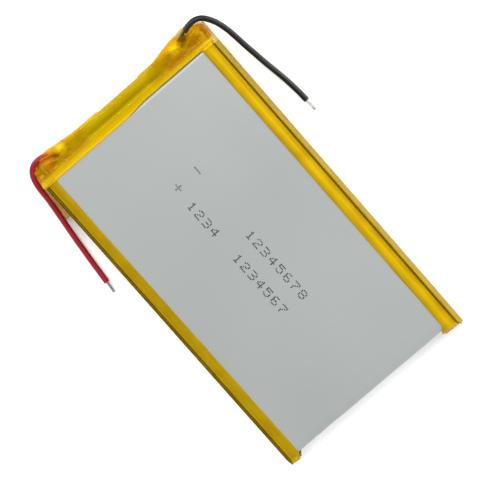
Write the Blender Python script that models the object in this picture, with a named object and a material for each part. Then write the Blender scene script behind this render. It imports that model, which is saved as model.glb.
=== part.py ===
"""Lithium-polymer pouch cell with a protection board and two bare-ended leads.

Metres, +Z up. The cell lies flat on Z = 0, its terminal end towards +Y, the black (negative) lead on
the +X side and the red (positive) lead on the -X side. X = Y = 0 is the middle of the cell's footprint
without the leads.
"""

import math

import bmesh
import bpy
from mathutils import Vector

MM = 0.001

# Overall sizes
CELL_WIDTH = 60.0 * MM  # over the terminal wrap
CELL_THICKNESS = 9.0 * MM
CUP_LENGTH = 97.8 * MM  # drawn cup, end wall to end wall
TERMINAL_DEPTH = 6.0 * MM  # from the cup's end wall to the outer end of the wrap
EAR_LENGTH = 2.4 * MM  # seal ears past the folded bottom edge

# Sheet thicknesses, and the gap left between sheets that lie on each other
LAMINATE = 0.15 * MM
TAPE = 0.06 * MM
SHEET_GAP = 0.02 * MM
PLY_GAP = 0.05 * MM

# Pouch
SEAL_GROOVE = 0.65 * MM  # between the cup's side wall and the folded-up seal
SEAL_HEIGHT = 8.3 * MM  # top edge of the folded-up seal
EAR_SEAL_HEIGHT = 5.0 * MM  # lower past the ends of the cup
CUP_SHOULDER_RADIUS = 1.2 * MM
CUP_CORNER_RADIUS = 2.0 * MM
CORNER_SEGMENTS = 6
TERRACE_LENGTH = 5.0 * MM
TERRACE_HALF_WIDTH = 28.6 * MM
TERRACE_STEP = 0.70 * MM  # underside of the terrace's upper ply
TAB_SLOT_HALF_WIDTH = 26.0 * MM
FACE_RISE = 0.03 * MM  # the free area of each broad face stands proud of the rim that the tapes press down
SEAL_SET_BACK = 0.3 * MM  # the full-height seal ends short of the cup's end wall
SEAL_OVERRUN = 4.6 * MM  # the low seal runs on past the cup's end wall
SEAL_EAR_INSET = 0.2 * MM  # the seal ends short of the tape's ear

# Side tapes
TAPE_LAP = 3.4 * MM  # how far the tape lies on the top face and on the underside
TAPE_END_GAP = 0.2 * MM  # between the tape and the cup's end wall
# Section where the tape leaves the top face: X in from the cup's wall, Z down from the top
TAPE_TURN = [(0.45 * MM, 0.10 * MM), (-0.05 * MM, 0.30 * MM)]
# Section over the edge of the seal: X in from the outside, Z above the seal
TAPE_OVER_SEAL = [(0.50 * MM, 0.18 * MM), (0.15 * MM, 0.18 * MM), (0.0, 0.05 * MM)]
TAPE_EAR_DROP = 3.3 * MM  # how far the upper leaf has come down at the end of the ear

# Terminal wrap
WRAP_TOP_LAP = 0.7 * MM  # lap of the wrap on the cup's top face
WRAP_BOTTOM_LAP = 4.0 * MM
WRAP_SIDE_FLAP = 10.0 * MM  # flap down the red lead's side wall
WRAP_SIDE_TOP = SEAL_HEIGHT - 0.3 * MM  # upper edge of the flap
WRAP_CHAMFER = 0.3 * MM  # along its lower outer edge
# Roof of the wrap: Y past the cup's end wall, and height
WRAP_ROOF = [
    (-WRAP_TOP_LAP, CELL_THICKNESS),
    (-0.1 * MM, CELL_THICKNESS),
    (0.5 * MM, CELL_THICKNESS - 0.7 * MM),
    (1.0 * MM, CELL_THICKNESS - 1.7 * MM),
    (1.7 * MM, 6.6 * MM),
    (2.9 * MM, 6.35 * MM),
    (5.2 * MM, 6.6 * MM),
    (TERMINAL_DEPTH, 5.9 * MM),
]
# Notches that the leads come out of: inner end of each, and how far they reach round the solder joint
BLACK_NOTCH_START = 21.2 * MM
RED_NOTCH_START = 21.6 * MM
NOTCH_BELOW = 1.3 * MM
NOTCH_ABOVE = 1.2 * MM

# Electrode roll
ROLL_TURNS = 11
POSITIVE_THICKNESS = 0.13 * MM
NEGATIVE_THICKNESS = 0.15 * MM
SEPARATOR_THICKNESS = 0.02 * MM
LAYER_GAP = 0.005 * MM
ROLL_CORE_RADIUS = 0.20 * MM
ROLL_HALF_WIDTH = 28.1 * MM
ROLL_END_GAP = 2.4 * MM  # head space for the tabs at the terminal end
ROLL_BOTTOM_GAP = 1.0 * MM
NEGATIVE_MARGIN = 0.7 * MM  # each strip is this much shorter than the separator at each end
POSITIVE_MARGIN = 1.2 * MM
ARC_SEGMENTS = 5
CLOSING_TAPE = 0.03 * MM
CLOSING_TAPE_LOW = (-12.0 * MM, -32.0 * MM)  # corners in X and Y
CLOSING_TAPE_HIGH = (8.0 * MM, 28.0 * MM)

# Tabs and their films
TAB_WIDTH = 8.0 * MM
TAB_THICKNESS = 0.10 * MM
TAB_OFFSET = 13.0 * MM
TAB_FOLD_HEIGHT = 1.8 * MM  # underside of the folded-back end
TAB_IN_ROLL = 14.0 * MM  # start of the tab, back from the cup's end wall
TAB_OUT_OF_ROLL = 0.4 * MM  # straight stretch past the end of the roll
TAB_DESCENT = [(-1.3 * MM, 3.0 * MM), (-1.0 * MM, 1.0 * MM)]  # Y past the cup's end wall, and height
TAB_FLAT_START = 0.5 * MM  # where it lies flat, back from the cup's end wall
TAB_OVERHANG = 0.65 * MM  # fold's outside, past the terrace
TAB_BEND = 0.35 * MM  # length of each bevelled bend of the fold
TAB_BEND_RISE = 0.4 * MM
TAB_BEND_DROP = 0.3 * MM
TAB_BACK_END = 1.6 * MM  # end of the folded-back part, past the cup's end wall
FILM_WIDTH = 11.0 * MM
FILM_THICKNESS = TAB_THICKNESS - 0.01 * MM
FILM_SHIFT = 0.2 * MM  # the films stand this far out of the terrace

# Protection board
BOARD_HALF_LENGTH = 24.0 * MM
BOARD_WIDTH = 4.2 * MM
BOARD_THICKNESS = 0.8 * MM
BOARD_UNDERSIDE = 3.2 * MM
BOARD_DISTANCE = 3.1 * MM  # its middle, past the cup's end wall
CHIP_EDGE = 0.08 * MM  # bevel on the board and its parts
LINK_WIDTH = 4.0 * MM
# Link strip, Y past the cup's end wall
LINK_TAB_END = 4.6 * MM
LINK_RISE = 1.3 * MM
LINK_BEND = 0.4 * MM
LINK_BOARD_END = 3.4 * MM
# Insulating paper
PAPER_HALF_WIDTH = 26.0 * MM
PAPER_START = 0.3 * MM  # past the cup's end wall
PAPER_OVERRUN = 0.1 * MM  # past the terrace
PAPER_TOP = 0.2 * MM  # above the terrace
# Parts on the underside of the board, in mm: name, centre X, length X, width Y, height, material
BOARD_PARTS = [
    ("mosfet_a", -5.2, 4.4, 3.0, 1.0, "chip"),
    ("protection_ic", 0.0, 2.9, 1.6, 1.1, "chip"),
    ("mosfet_b", 5.2, 4.4, 3.0, 1.0, "chip"),
    ("supply_resistor", 18.3, 1.6, 0.8, 0.45, "resistor"),
    ("sense_resistor", -18.3, 2.0, 1.25, 0.5, "resistor"),
    ("filter_capacitor", 21.2, 1.6, 0.8, 0.8, "capacitor"),
]

# Leads
LEAD_DIAMETER = 1.6 * MM
STRAND_DIAMETER = 0.76 * MM
LEAD_HEIGHT = 5.0 * MM  # centre line where it leaves the board
TIP_LENGTH = 3.1 * MM
PIECE_GAP = 0.3 * MM
LEAD_STEP = 2.2 * MM  # spacing of the points along a lead
CURVE_SAMPLES = 24  # between two hand-chosen points, before the even spacing

# Solder joints
SOLDER_Y = 52.0 * MM
SOLDER_HALF_LENGTH = 1.5 * MM
SOLDER_HALF_WIDTH = 0.85 * MM
SOLDER_RISE = 1.75 * MM
SOLDER_SHIFT = 0.1 * MM  # towards the cell
SOLDER_SEGMENTS = 14
SOLDER_DOME = 78  # degrees of arc from the foot of the dome to its flat top
SOLDER_RINGS = 5
SHARP_ANGLE = math.radians(50)  # edges sharper than this aren't smoothed over
SOLDER_SET_BACK = 1.6 * MM  # centre of the joint, inwards of the insulation's end
ROOT_START = 0.1 * MM  # inner end of the stripped root, outwards of the joint's centre
CHANNEL_GAP = 0.05 * MM  # between the root and the solder

# Worked-out places
HALF_WIDTH = CELL_WIDTH / 2
TOTAL_LENGTH = EAR_LENGTH + CUP_LENGTH + TERMINAL_DEPTH
Y_EAR = -TOTAL_LENGTH / 2
Y_FOLD = Y_EAR + EAR_LENGTH
Y_CUP = Y_FOLD + CUP_LENGTH
Y_END = Y_CUP + TERMINAL_DEPTH
Z_TAPE = TAPE + SHEET_GAP
Z_COVER = Z_TAPE + TAPE + SHEET_GAP
Z_CUP = Z_COVER + LAMINATE + PLY_GAP
Z_CUP_TOP = CELL_THICKNESS - 2 * (TAPE + SHEET_GAP)
X_TAPE = HALF_WIDTH - TAPE - SHEET_GAP  # outside of the side tapes
X_COVER_PLY = X_TAPE - TAPE - SHEET_GAP
X_CUP_PLY = X_COVER_PLY - LAMINATE - PLY_GAP
X_WALL = X_CUP_PLY - LAMINATE - SEAL_GROOVE
TAPE_INNER_EDGE = X_WALL - TAPE_LAP
FACE_MARGIN = 0.2 * MM  # between the free area and the tapes' edges
FACE_HALF_WIDTH = TAPE_INNER_EDGE - FACE_MARGIN
BOARD_TOP = BOARD_UNDERSIDE + BOARD_THICKNESS
BOARD_Y = Y_CUP + BOARD_DISTANCE
Z_MIDDLE = (Z_CUP + Z_CUP_TOP) / 2

# Hand-chosen centre lines of the insulation, from the solder joint to the stripped end
BLACK_ROUTE = [
    (21.6, 52.0, 5.0), (23.3, 52.9, 5.1), (25.4, 53.8, 5.1), (27.2, 54.3, 5.0),
    (29.1, 54.3, 4.85), (30.9, 53.4, 4.6), (32.2, 51.6, 4.2), (33.1, 49.6, 3.8),
    (33.8, 46.8, 3.3), (34.2, 43.7, 2.8), (34.5, 40.5, 2.3), (34.9, 37.4, 1.9),
    (35.3, 34.2, 1.5), (35.8, 31.0, 1.2), (36.3, 27.9, 1.0), (36.7, 24.7, 0.88),
    (37.0, 21.5, 0.84), (37.1, 18.9, 0.84),
]
RED_ROUTE = [
    (-22.0, 52.1, 5.0), (-23.6, 52.8, 5.1), (-25.6, 53.4, 5.1), (-27.6, 53.6, 5.0),
    (-29.5, 53.1, 4.85), (-31.0, 51.7, 4.5), (-31.9, 49.6, 4.1), (-32.4, 46.8, 3.6),
    (-32.7, 43.6, 3.0), (-33.2, 40.4, 2.5), (-33.7, 37.1, 2.0), (-34.2, 33.9, 1.6),
    (-34.7, 30.6, 1.25), (-35.1, 27.4, 1.0), (-35.5, 24.1, 0.88), (-35.8, 20.9, 0.84),
    (-36.1, 17.7, 0.84), (-36.2, 16.7, 0.84),
]


def clear_scene():
    for obj in list(bpy.data.objects):
        bpy.data.objects.remove(obj, do_unlink=True)


def material(name, colour, roughness, metallic=0.0, alpha=1.0):
    mat = bpy.data.materials.new(name)
    mat.use_nodes = True
    shader = mat.node_tree.nodes["Principled BSDF"]
    shader.inputs["Base Color"].default_value = (*colour, 1.0)
    shader.inputs["Roughness"].default_value = roughness
    shader.inputs["Metallic"].default_value = metallic
    shader.inputs["Alpha"].default_value = alpha
    mat.diffuse_color = (*colour, alpha)
    return mat


def new_object(name, mesh_builder, mat):
    mesh = bpy.data.meshes.new(name)
    bmesh.ops.recalc_face_normals(mesh_builder, faces=mesh_builder.faces)
    mesh_builder.to_mesh(mesh)
    mesh_builder.free()
    mesh.materials.append(mat)
    obj = bpy.data.objects.new(name, mesh)
    bpy.context.scene.collection.objects.link(obj)
    return obj


def box(name, low, high, mat):
    """An axis-aligned block between two corners."""
    bm = bmesh.new()
    bmesh.ops.create_cube(bm, size=1.0)
    low, high = Vector(low), Vector(high)
    bmesh.ops.scale(bm, vec=high - low, verts=bm.verts)
    bmesh.ops.translate(bm, vec=(low + high) / 2, verts=bm.verts)
    return new_object(name, bm, mat)


def chip(name, low, high, mat):
    """A block with softened edges, for the parts on the board."""
    obj = box(name, low, high, mat)
    bevel = obj.modifiers.new("edges", "BEVEL")
    bevel.width = CHIP_EDGE
    bevel.segments = 1
    return obj


def offset_line(points, distance):
    """A polyline in 2D moved sideways to its left by a distance, with mitred corners."""
    moved = []
    for i, point in enumerate(points):
        before = (point - points[i - 1]).normalized() if i else None
        after = (points[i + 1] - point).normalized() if i + 1 < len(points) else None
        tangent = ((before or after) + (after or before)).normalized()
        side = Vector((-tangent.y, tangent.x))
        edge = after or before
        mitre = max(0.5, side.dot(Vector((-edge.y, edge.x))))
        moved.append(point + side * distance / mitre)
    return moved


def strip_between(bm, first, second):
    """A thin sheet: its two sides are grids of points, given as rows of equal length."""
    sheets = [[[bm.verts.new(p) for p in row] for row in side] for side in (first, second)]
    rows, columns = len(first), len(first[0])
    for sheet in sheets:
        for i in range(rows - 1):
            for j in range(columns - 1):
                bm.faces.new((sheet[i][j], sheet[i + 1][j], sheet[i + 1][j + 1], sheet[i][j + 1]))
    front, back = sheets
    for i in range(rows - 1):
        for j in (0, columns - 1):
            bm.faces.new((front[i][j], front[i + 1][j], back[i + 1][j], back[i][j]))
    for j in range(columns - 1):
        for i in (0, rows - 1):
            bm.faces.new((front[i][j], front[i][j + 1], back[i][j + 1], back[i][j]))


def ribbon_along_x(name, profile, thickness, x_low, x_high, mat):
    """A bent flat strip: a profile in Y and Z, thickened to its left and extruded along X."""
    line = [Vector(p) for p in profile]
    other = offset_line(line, thickness)
    bm = bmesh.new()
    first = [[(x, p.x, p.y) for p in line] for x in (x_low, x_high)]
    second = [[(x, p.x, p.y) for p in other] for x in (x_low, x_high)]
    strip_between(bm, first, second)
    return new_object(name, bm, mat)


def arc(centre, radius, start, end, segments):
    """Points of a circular arc in 2D, angles in degrees."""
    step = math.radians(end - start) / segments
    return [
        (
            centre[0] + radius * math.cos(math.radians(start) + i * step),
            centre[1] + radius * math.sin(math.radians(start) + i * step),
        )
        for i in range(segments + 1)
    ]


def rounded_rectangle(half_width, y_low, y_high, radius, segments):
    """A closed outline in X and Y, anticlockwise."""
    corners = [
        ((half_width - radius, y_low + radius), 270),
        ((half_width - radius, y_high - radius), 0),
        ((radius - half_width, y_high - radius), 90),
        ((radius - half_width, y_low + radius), 180),
    ]
    outline = []
    for centre, start in corners:
        outline += arc(centre, radius, start, start + 90, segments)
    return outline


def boolean(target, other, operation):
    """Applies a Boolean to the target and removes the other object."""
    modifier = target.modifiers.new(operation.lower(), "BOOLEAN")
    modifier.operation = operation
    modifier.solver = "EXACT"
    modifier.object = other
    graph = bpy.context.evaluated_depsgraph_get()
    mesh = bpy.data.meshes.new_from_object(target.evaluated_get(graph))
    target.modifiers.clear()
    target.data = mesh
    bpy.data.objects.remove(other, do_unlink=True)


def cup_shell(mat):
    """The drawn cup: flat top, rounded shoulder, straight walls, open underneath."""

    def rings(inset):
        """Outlines from the rim up to the top face, the whole cup shrunk by an inset."""
        radius = CUP_SHOULDER_RADIUS - inset
        top = Z_CUP_TOP - inset
        levels = [(inset, Z_CUP)]
        for x, z in arc((0.0, 0.0), radius, 0, 90, CORNER_SEGMENTS):
            levels.append((CUP_SHOULDER_RADIUS - x, top - radius + z))
        outlines = []
        for shrink, height in levels:
            outline = rounded_rectangle(
                X_WALL - shrink, Y_FOLD + shrink, Y_CUP - shrink, CUP_CORNER_RADIUS - shrink, CORNER_SEGMENTS
            )
            outlines.append([(x, y, height) for x, y in outline])
        return outlines

    bm = bmesh.new()
    rims = []
    for inset in (0.0, LAMINATE):
        loops = [[bm.verts.new(p) for p in ring] for ring in rings(inset)]
        count = len(loops[0])
        for lower, upper in zip(loops, loops[1:]):
            for i in range(count):
                j = (i + 1) % count
                bm.faces.new((lower[i], lower[j], upper[j], upper[i]))
        bm.faces.new(loops[-1])
        rims.append(loops[0])
    outer, inner = rims
    for i in range(len(outer)):
        j = (i + 1) % len(outer)
        bm.faces.new((outer[i], outer[j], inner[j], inner[i]))
    return new_object("pouch_cup", bm, mat)


def add_side_plies(target, ply_x, foot_x, foot_z, mat):
    """Unites the two folded-up seal plies and their ears with one half of the pouch."""
    y_shoulder = Y_CUP - SEAL_SET_BACK
    y_top = Y_CUP + SEAL_OVERRUN
    y_ear = Y_EAR + SEAL_EAR_INSET
    for side in (-1, 1):

        def block(x_low, x_high, y_low, y_high, z_low, z_high):
            ends = sorted((side * x_low, side * x_high))
            return box("block", (ends[0], y_low, z_low), (ends[1], y_high, z_high), mat)

        boolean(target, block(foot_x, ply_x, y_ear, y_top, foot_z, foot_z + LAMINATE), "UNION")
        wall_low = ply_x - LAMINATE
        boolean(target, block(wall_low, ply_x, Y_FOLD, y_shoulder, foot_z, SEAL_HEIGHT), "UNION")
        boolean(target, block(wall_low, ply_x, y_ear, y_top, foot_z, EAR_SEAL_HEIGHT), "UNION")


def make_pouch(laminate):
    cup = cup_shell(laminate)
    slot = box(
        "slot",
        (-TAB_SLOT_HALF_WIDTH, Y_CUP - MM, 0.0),
        (TAB_SLOT_HALF_WIDTH, Y_CUP + MM, TERRACE_STEP),
        laminate,
    )
    boolean(cup, slot, "DIFFERENCE")
    terrace = box(
        "terrace",
        (-TERRACE_HALF_WIDTH, Y_CUP - LAMINATE / 2, TERRACE_STEP),
        (TERRACE_HALF_WIDTH, Y_CUP + TERRACE_LENGTH, TERRACE_STEP + LAMINATE),
        laminate,
    )
    boolean(cup, terrace, "UNION")
    add_side_plies(cup, X_CUP_PLY, X_WALL - LAMINATE / 2, Z_CUP, laminate)
    drawn_face = box(
        "drawn_face",
        (-FACE_HALF_WIDTH, Y_FOLD + CUP_SHOULDER_RADIUS + FACE_MARGIN, Z_CUP_TOP - LAMINATE / 2),
        (FACE_HALF_WIDTH, Y_CUP - CUP_SHOULDER_RADIUS - FACE_MARGIN, Z_CUP_TOP + FACE_RISE),
        laminate,
    )
    boolean(cup, drawn_face, "UNION")

    cover = box(
        "pouch_cover",
        (-TERRACE_HALF_WIDTH, Y_FOLD, Z_COVER),
        (TERRACE_HALF_WIDTH, Y_CUP + TERRACE_LENGTH, Z_COVER + LAMINATE),
        laminate,
    )
    add_side_plies(cover, X_COVER_PLY, TERRACE_HALF_WIDTH - MM, Z_COVER, laminate)
    cover_face = box(
        "cover_face",
        (-FACE_HALF_WIDTH, Y_FOLD + FACE_MARGIN, Z_COVER - FACE_RISE),
        (FACE_HALF_WIDTH, Y_CUP - WRAP_BOTTOM_LAP - FACE_MARGIN, Z_COVER + LAMINATE / 2),
        laminate,
    )
    boolean(cover, cover_face, "UNION")


def tape_profile(side, drop):
    """Inner side of a side tape's section in X and Z, from the upper lap round to the lower lap.

    drop is how far the upper leaf has come down there.
    """
    top = Z_CUP_TOP + SHEET_GAP
    bottom = Z_COVER - SHEET_GAP
    outside = X_COVER_PLY + SHEET_GAP
    section = [
        (TAPE_INNER_EDGE, top - drop),
        (X_WALL - CUP_SHOULDER_RADIUS, top - drop),
    ]
    section += [(X_WALL - x, top - z - drop) for x, z in TAPE_TURN]
    section += [(outside - x, SEAL_HEIGHT + z - drop) for x, z in TAPE_OVER_SEAL]
    section += [(outside, bottom), (TAPE_INNER_EDGE, bottom)]
    return [Vector((side * x, z)) for x, z in section]


def make_side_tape(name, side, mat):
    stations = [(Y_EAR, TAPE_EAR_DROP), (Y_FOLD, 0.0), (Y_CUP - TAPE_END_GAP, 0.0)]
    inner, outer = [], []
    for y, drop in stations:
        line = tape_profile(side, drop)
        inner.append([(p.x, y, p.y) for p in line])
        outer.append([(p.x, y, p.y) for p in offset_line(line, side * TAPE)])
    bm = bmesh.new()
    strip_between(bm, inner, outer)
    return new_object(name, bm, mat)


def prism_along_x(name, profile, half_width, mat):
    """A closed outline in Y and Z extruded along X."""
    bm = bmesh.new()
    ends = [[bm.verts.new((x, y, z)) for y, z in profile] for x in (-half_width, half_width)]
    for end in ends:
        bm.faces.new(end)
    for i in range(len(profile)):
        j = (i + 1) % len(profile)
        bm.faces.new((ends[0][i], ends[0][j], ends[1][j], ends[1][i]))
    return new_object(name, bm, mat)


def make_terminal_wrap(mat):
    """A sleeve over the terminal end: open towards the cell, notched at both corners for the leads."""
    mouth = Y_CUP - WRAP_SIDE_FLAP
    top = CELL_THICKNESS
    roof = [(Y_CUP + y, z) for y, z in WRAP_ROOF]
    outline = [(mouth, top)] + roof + [(Y_END, WRAP_CHAMFER), (Y_END - WRAP_CHAMFER, 0.0), (mouth, 0.0)]
    wrap = prism_along_x("terminal_wrap", outline, HALF_WIDTH, mat)
    line = [Vector(p) for p in outline]
    inside = [(p.x, p.y) for p in offset_line(line, -TAPE)]
    inside[0] = (mouth - MM, top - TAPE)
    inside[-1] = (mouth - MM, TAPE)
    boolean(wrap, prism_along_x("inside", inside, HALF_WIDTH - TAPE, mat), "DIFFERENCE")

    far = HALF_WIDTH + MM
    cuts = [
        ((-far, mouth - MM, WRAP_SIDE_TOP), (far, Y_CUP - WRAP_TOP_LAP, top + MM)),
        ((-far, mouth - MM, -MM), (far, Y_CUP - WRAP_BOTTOM_LAP, MM)),
        ((0.0, mouth - MM, -MM), (far, Y_CUP - WRAP_BOTTOM_LAP, top + MM)),
    ]
    for side, start in ((1, BLACK_NOTCH_START), (-1, RED_NOTCH_START)):
        ends = sorted((side * start, side * far))
        cuts.append(
            (
                (ends[0], SOLDER_Y - NOTCH_BELOW, LEAD_HEIGHT - NOTCH_BELOW),
                (ends[1], Y_END + MM, LEAD_HEIGHT + NOTCH_ABOVE),
            )
        )
    for low, high in cuts:
        boolean(wrap, box("cut", low, high, mat), "DIFFERENCE")
    return wrap


def wound_strip(name, inner_offset, thickness, start_turn, end_turn, y_low, y_high, mat):
    """One strip of the flat winding, a spiral of half-circles joined by straight runs."""
    pitch = roll_pitch()
    half_flat = ROLL_HALF_WIDTH - ROLL_CORE_RADIUS - pitch * ROLL_TURNS
    samples = []
    for turn in range(start_turn, end_turn):
        for half in (0, 1):
            for step in range(ARC_SEGMENTS + 1):
                angle = math.pi * (half + step / ARC_SEGMENTS) - math.pi / 2
                radius = ROLL_CORE_RADIUS + pitch * (turn + (half + step / ARC_SEGMENTS) / 2)
                samples.append((half_flat if half == 0 else -half_flat, angle, radius))

    def rows(offset):
        line = [
            (x + (r + offset) * math.cos(a), Z_MIDDLE + (r + offset) * math.sin(a)) for x, a, r in samples
        ]
        return [[(x, y, z) for x, z in line] for y in (y_low, y_high)]

    bm = bmesh.new()
    strip_between(bm, rows(inner_offset), rows(inner_offset + thickness))
    return new_object(name, bm, mat)


def roll_pitch():
    return POSITIVE_THICKNESS + NEGATIVE_THICKNESS + 2 * SEPARATOR_THICKNESS + 4 * LAYER_GAP


def make_electrode_roll(cathode, anode, separator, closing_tape):
    y_low, y_high = Y_FOLD + ROLL_BOTTOM_GAP, Y_CUP - ROLL_END_GAP
    layers = [
        ("separator_inner", SEPARATOR_THICKNESS, separator, 0.0, 0),
        ("negative_electrode", NEGATIVE_THICKNESS, anode, NEGATIVE_MARGIN, 0),
        ("separator_outer", SEPARATOR_THICKNESS, separator, 0.0, 0),
        ("positive_electrode", POSITIVE_THICKNESS, cathode, POSITIVE_MARGIN, 1),
    ]
    offset = 0.0
    for name, thickness, mat, margin, skipped in layers:
        wound_strip(
            name, offset, thickness, skipped, ROLL_TURNS - skipped, y_low + margin, y_high - margin, mat
        )
        offset += thickness + LAYER_GAP
    # The last straight run on top is half a turn short of the end, and lacks the positive strip.
    outer_layers = offset - POSITIVE_THICKNESS - LAYER_GAP
    roll_top = Z_MIDDLE + ROLL_CORE_RADIUS + roll_pitch() * (ROLL_TURNS - 0.5) + outer_layers
    box(
        "roll_closing_tape",
        (*CLOSING_TAPE_LOW, roll_top + SHEET_GAP),
        (*CLOSING_TAPE_HIGH, roll_top + SHEET_GAP + CLOSING_TAPE),
        closing_tape,
    )


def make_tab(name, centre, mat):
    """From the core of the roll, down to the terrace, out through it and folded back over it."""
    film_gap = Z_COVER + LAMINATE + SHEET_GAP + TAB_THICKNESS + SHEET_GAP
    fold = Y_CUP + TERRACE_LENGTH + TAB_OVERHANG
    profile = [
        (Y_CUP - TAB_IN_ROLL, Z_MIDDLE),
        (Y_CUP - ROLL_END_GAP + TAB_OUT_OF_ROLL, Z_MIDDLE),
        *((Y_CUP + y, z) for y, z in TAB_DESCENT),
        (Y_CUP - TAB_FLAT_START, film_gap + TAB_THICKNESS),
        (fold - TAB_BEND, film_gap + TAB_THICKNESS),
        (fold, film_gap + TAB_BEND_RISE),
        (fold, TAB_FOLD_HEIGHT - TAB_BEND_DROP),
        (fold - TAB_BEND, TAB_FOLD_HEIGHT),
        (Y_CUP + TAB_BACK_END, TAB_FOLD_HEIGHT),
    ]
    ribbon_along_x(name, profile, -TAB_THICKNESS, centre - TAB_WIDTH / 2, centre + TAB_WIDTH / 2, mat)


def make_tab_films(prefix, centre, mat):
    low = Z_COVER + LAMINATE + SHEET_GAP
    for name, z in (("lower", low), ("upper", low + 2 * TAB_THICKNESS + 2 * SHEET_GAP)):
        box(
            f"{prefix}_film_{name}",
            (centre - FILM_WIDTH / 2, Y_CUP + FILM_SHIFT, z),
            (centre + FILM_WIDTH / 2, Y_CUP + TERRACE_LENGTH + FILM_SHIFT, z + FILM_THICKNESS),
            mat,
        )


def make_link(name, centre, mat):
    """Nickel strip: lies on the folded-back tab, rises and is soldered to the board's underside."""
    low = TAB_FOLD_HEIGHT + TAB_THICKNESS + SHEET_GAP
    high = BOARD_UNDERSIDE - SHEET_GAP
    profile = [
        (Y_CUP + LINK_TAB_END, low),
        (Y_CUP + LINK_RISE + LINK_BEND, low),
        (Y_CUP + LINK_RISE, low + LINK_BEND),
        (Y_CUP + LINK_RISE, high - LINK_BEND),
        (Y_CUP + LINK_RISE + LINK_BEND, high),
        (Y_CUP + LINK_BOARD_END, high),
    ]
    ribbon_along_x(name, profile, -TAB_THICKNESS, centre - LINK_WIDTH / 2, centre + LINK_WIDTH / 2, mat)


def make_terminals(mats):
    make_tab("positive_tab", -TAB_OFFSET, mats["aluminium"])
    make_tab("negative_tab", TAB_OFFSET, mats["nickel"])
    make_tab_films("positive", -TAB_OFFSET, mats["film"])
    make_tab_films("negative", TAB_OFFSET, mats["film"])
    make_link("positive_link", -TAB_OFFSET, mats["nickel"])
    make_link("negative_link", TAB_OFFSET, mats["nickel"])
    box(
        "insulating_paper",
        (-PAPER_HALF_WIDTH, Y_CUP + PAPER_START, TERRACE_STEP + LAMINATE + SHEET_GAP),
        (PAPER_HALF_WIDTH, Y_CUP + TERRACE_LENGTH + PAPER_OVERRUN, TERRACE_STEP + LAMINATE + PAPER_TOP),
        mats["paper"],
    )


def make_board(mats):
    y_low, y_high = BOARD_Y - BOARD_WIDTH / 2, BOARD_Y + BOARD_WIDTH / 2
    chip(
        "protection_board",
        (-BOARD_HALF_LENGTH, y_low, BOARD_UNDERSIDE),
        (BOARD_HALF_LENGTH, y_high, BOARD_TOP),
        mats["board"],
    )
    top = BOARD_UNDERSIDE - SHEET_GAP
    for name, x, length, width, height, slot in BOARD_PARTS:
        chip(
            name,
            ((x - length / 2) * MM, BOARD_Y - width * MM / 2, top - height * MM),
            ((x + length / 2) * MM, BOARD_Y + width * MM / 2, top),
            mats[slot],
        )


def smooth_line(points, step):
    """Points about a step apart on a Catmull-Rom curve through hand-chosen points."""
    line = [Vector(p) * MM for p in points]
    padded = [2 * line[0] - line[1]] + line + [2 * line[-1] - line[-2]]
    fine = []
    for a, b, c, d in zip(padded, padded[1:], padded[2:], padded[3:]):
        for i in range(CURVE_SAMPLES):
            t = i / CURVE_SAMPLES
            cubic = 3 * b - a - 3 * c + d
            fine.append(0.5 * (2 * b + (c - a) * t + (2 * a - 5 * b + 4 * c - d) * t**2 + cubic * t**3))
    fine.append(line[-1])
    lengths = [0.0]
    for a, b in zip(fine, fine[1:]):
        lengths.append(lengths[-1] + (b - a).length)
    count = max(2, round(lengths[-1] / step))
    spaced = []
    index = 0
    for i in range(count + 1):
        target = lengths[-1] * i / count
        while index < len(fine) - 2 and lengths[index + 1] < target:
            index += 1
        part = (target - lengths[index]) / (lengths[index + 1] - lengths[index])
        spaced.append(fine[index].lerp(fine[index + 1], min(1.0, part)))
    return spaced


def tube(name, points, diameter, mat, resolution=2):
    """A round cord or wire with closed ends through the given points."""
    curve = bpy.data.curves.new(name, "CURVE")
    curve.dimensions = "3D"
    curve.bevel_depth = diameter / 2
    curve.bevel_resolution = resolution
    curve.use_fill_caps = True
    spline = curve.splines.new("POLY")
    spline.points.add(len(points) - 1)
    for point, place in zip(spline.points, points):
        point.co = (*place, 1.0)
    curve.materials.append(mat)
    obj = bpy.data.objects.new(name, curve)
    bpy.context.scene.collection.objects.link(obj)
    return obj


def solder_joint(name, centre_x, root_end_x, mat):
    """A low dome of solder on the board, with a channel that the stripped end lies in."""
    profile = arc((0.0, 0.0), 1.0, 0, SOLDER_DOME, SOLDER_RINGS)
    base = BOARD_TOP + SHEET_GAP
    bm = bmesh.new()
    rings = []
    for radius, height in profile:
        ring = []
        for k in range(SOLDER_SEGMENTS):
            turn = 2 * math.pi * k / SOLDER_SEGMENTS
            ring.append(
                bm.verts.new(
                    (
                        centre_x + SOLDER_HALF_LENGTH * radius * math.cos(turn),
                        SOLDER_Y + SOLDER_HALF_WIDTH * radius * math.sin(turn) - SOLDER_SHIFT,
                        base + SOLDER_RISE * height,
                    )
                )
            )
        rings.append(ring)
    bm.faces.new(rings[0])
    bm.faces.new(rings[-1])
    for lower, upper in zip(rings, rings[1:]):
        for k in range(SOLDER_SEGMENTS):
            j = (k + 1) % SOLDER_SEGMENTS
            bm.faces.new((lower[k], lower[j], upper[j], upper[k]))
    joint = new_object(name, bm, mat)
    ends = sorted((centre_x, root_end_x))
    half = STRAND_DIAMETER / 2 + CHANNEL_GAP
    channel = box(
        "channel",
        (ends[0], SOLDER_Y - half, LEAD_HEIGHT - half),
        (ends[1], SOLDER_Y + half, LEAD_HEIGHT + half),
        mat,
    )
    boolean(joint, channel, "DIFFERENCE")
    joint.data.shade_smooth()
    joint.data.set_sharp_from_angle(angle=SHARP_ANGLE)


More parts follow.
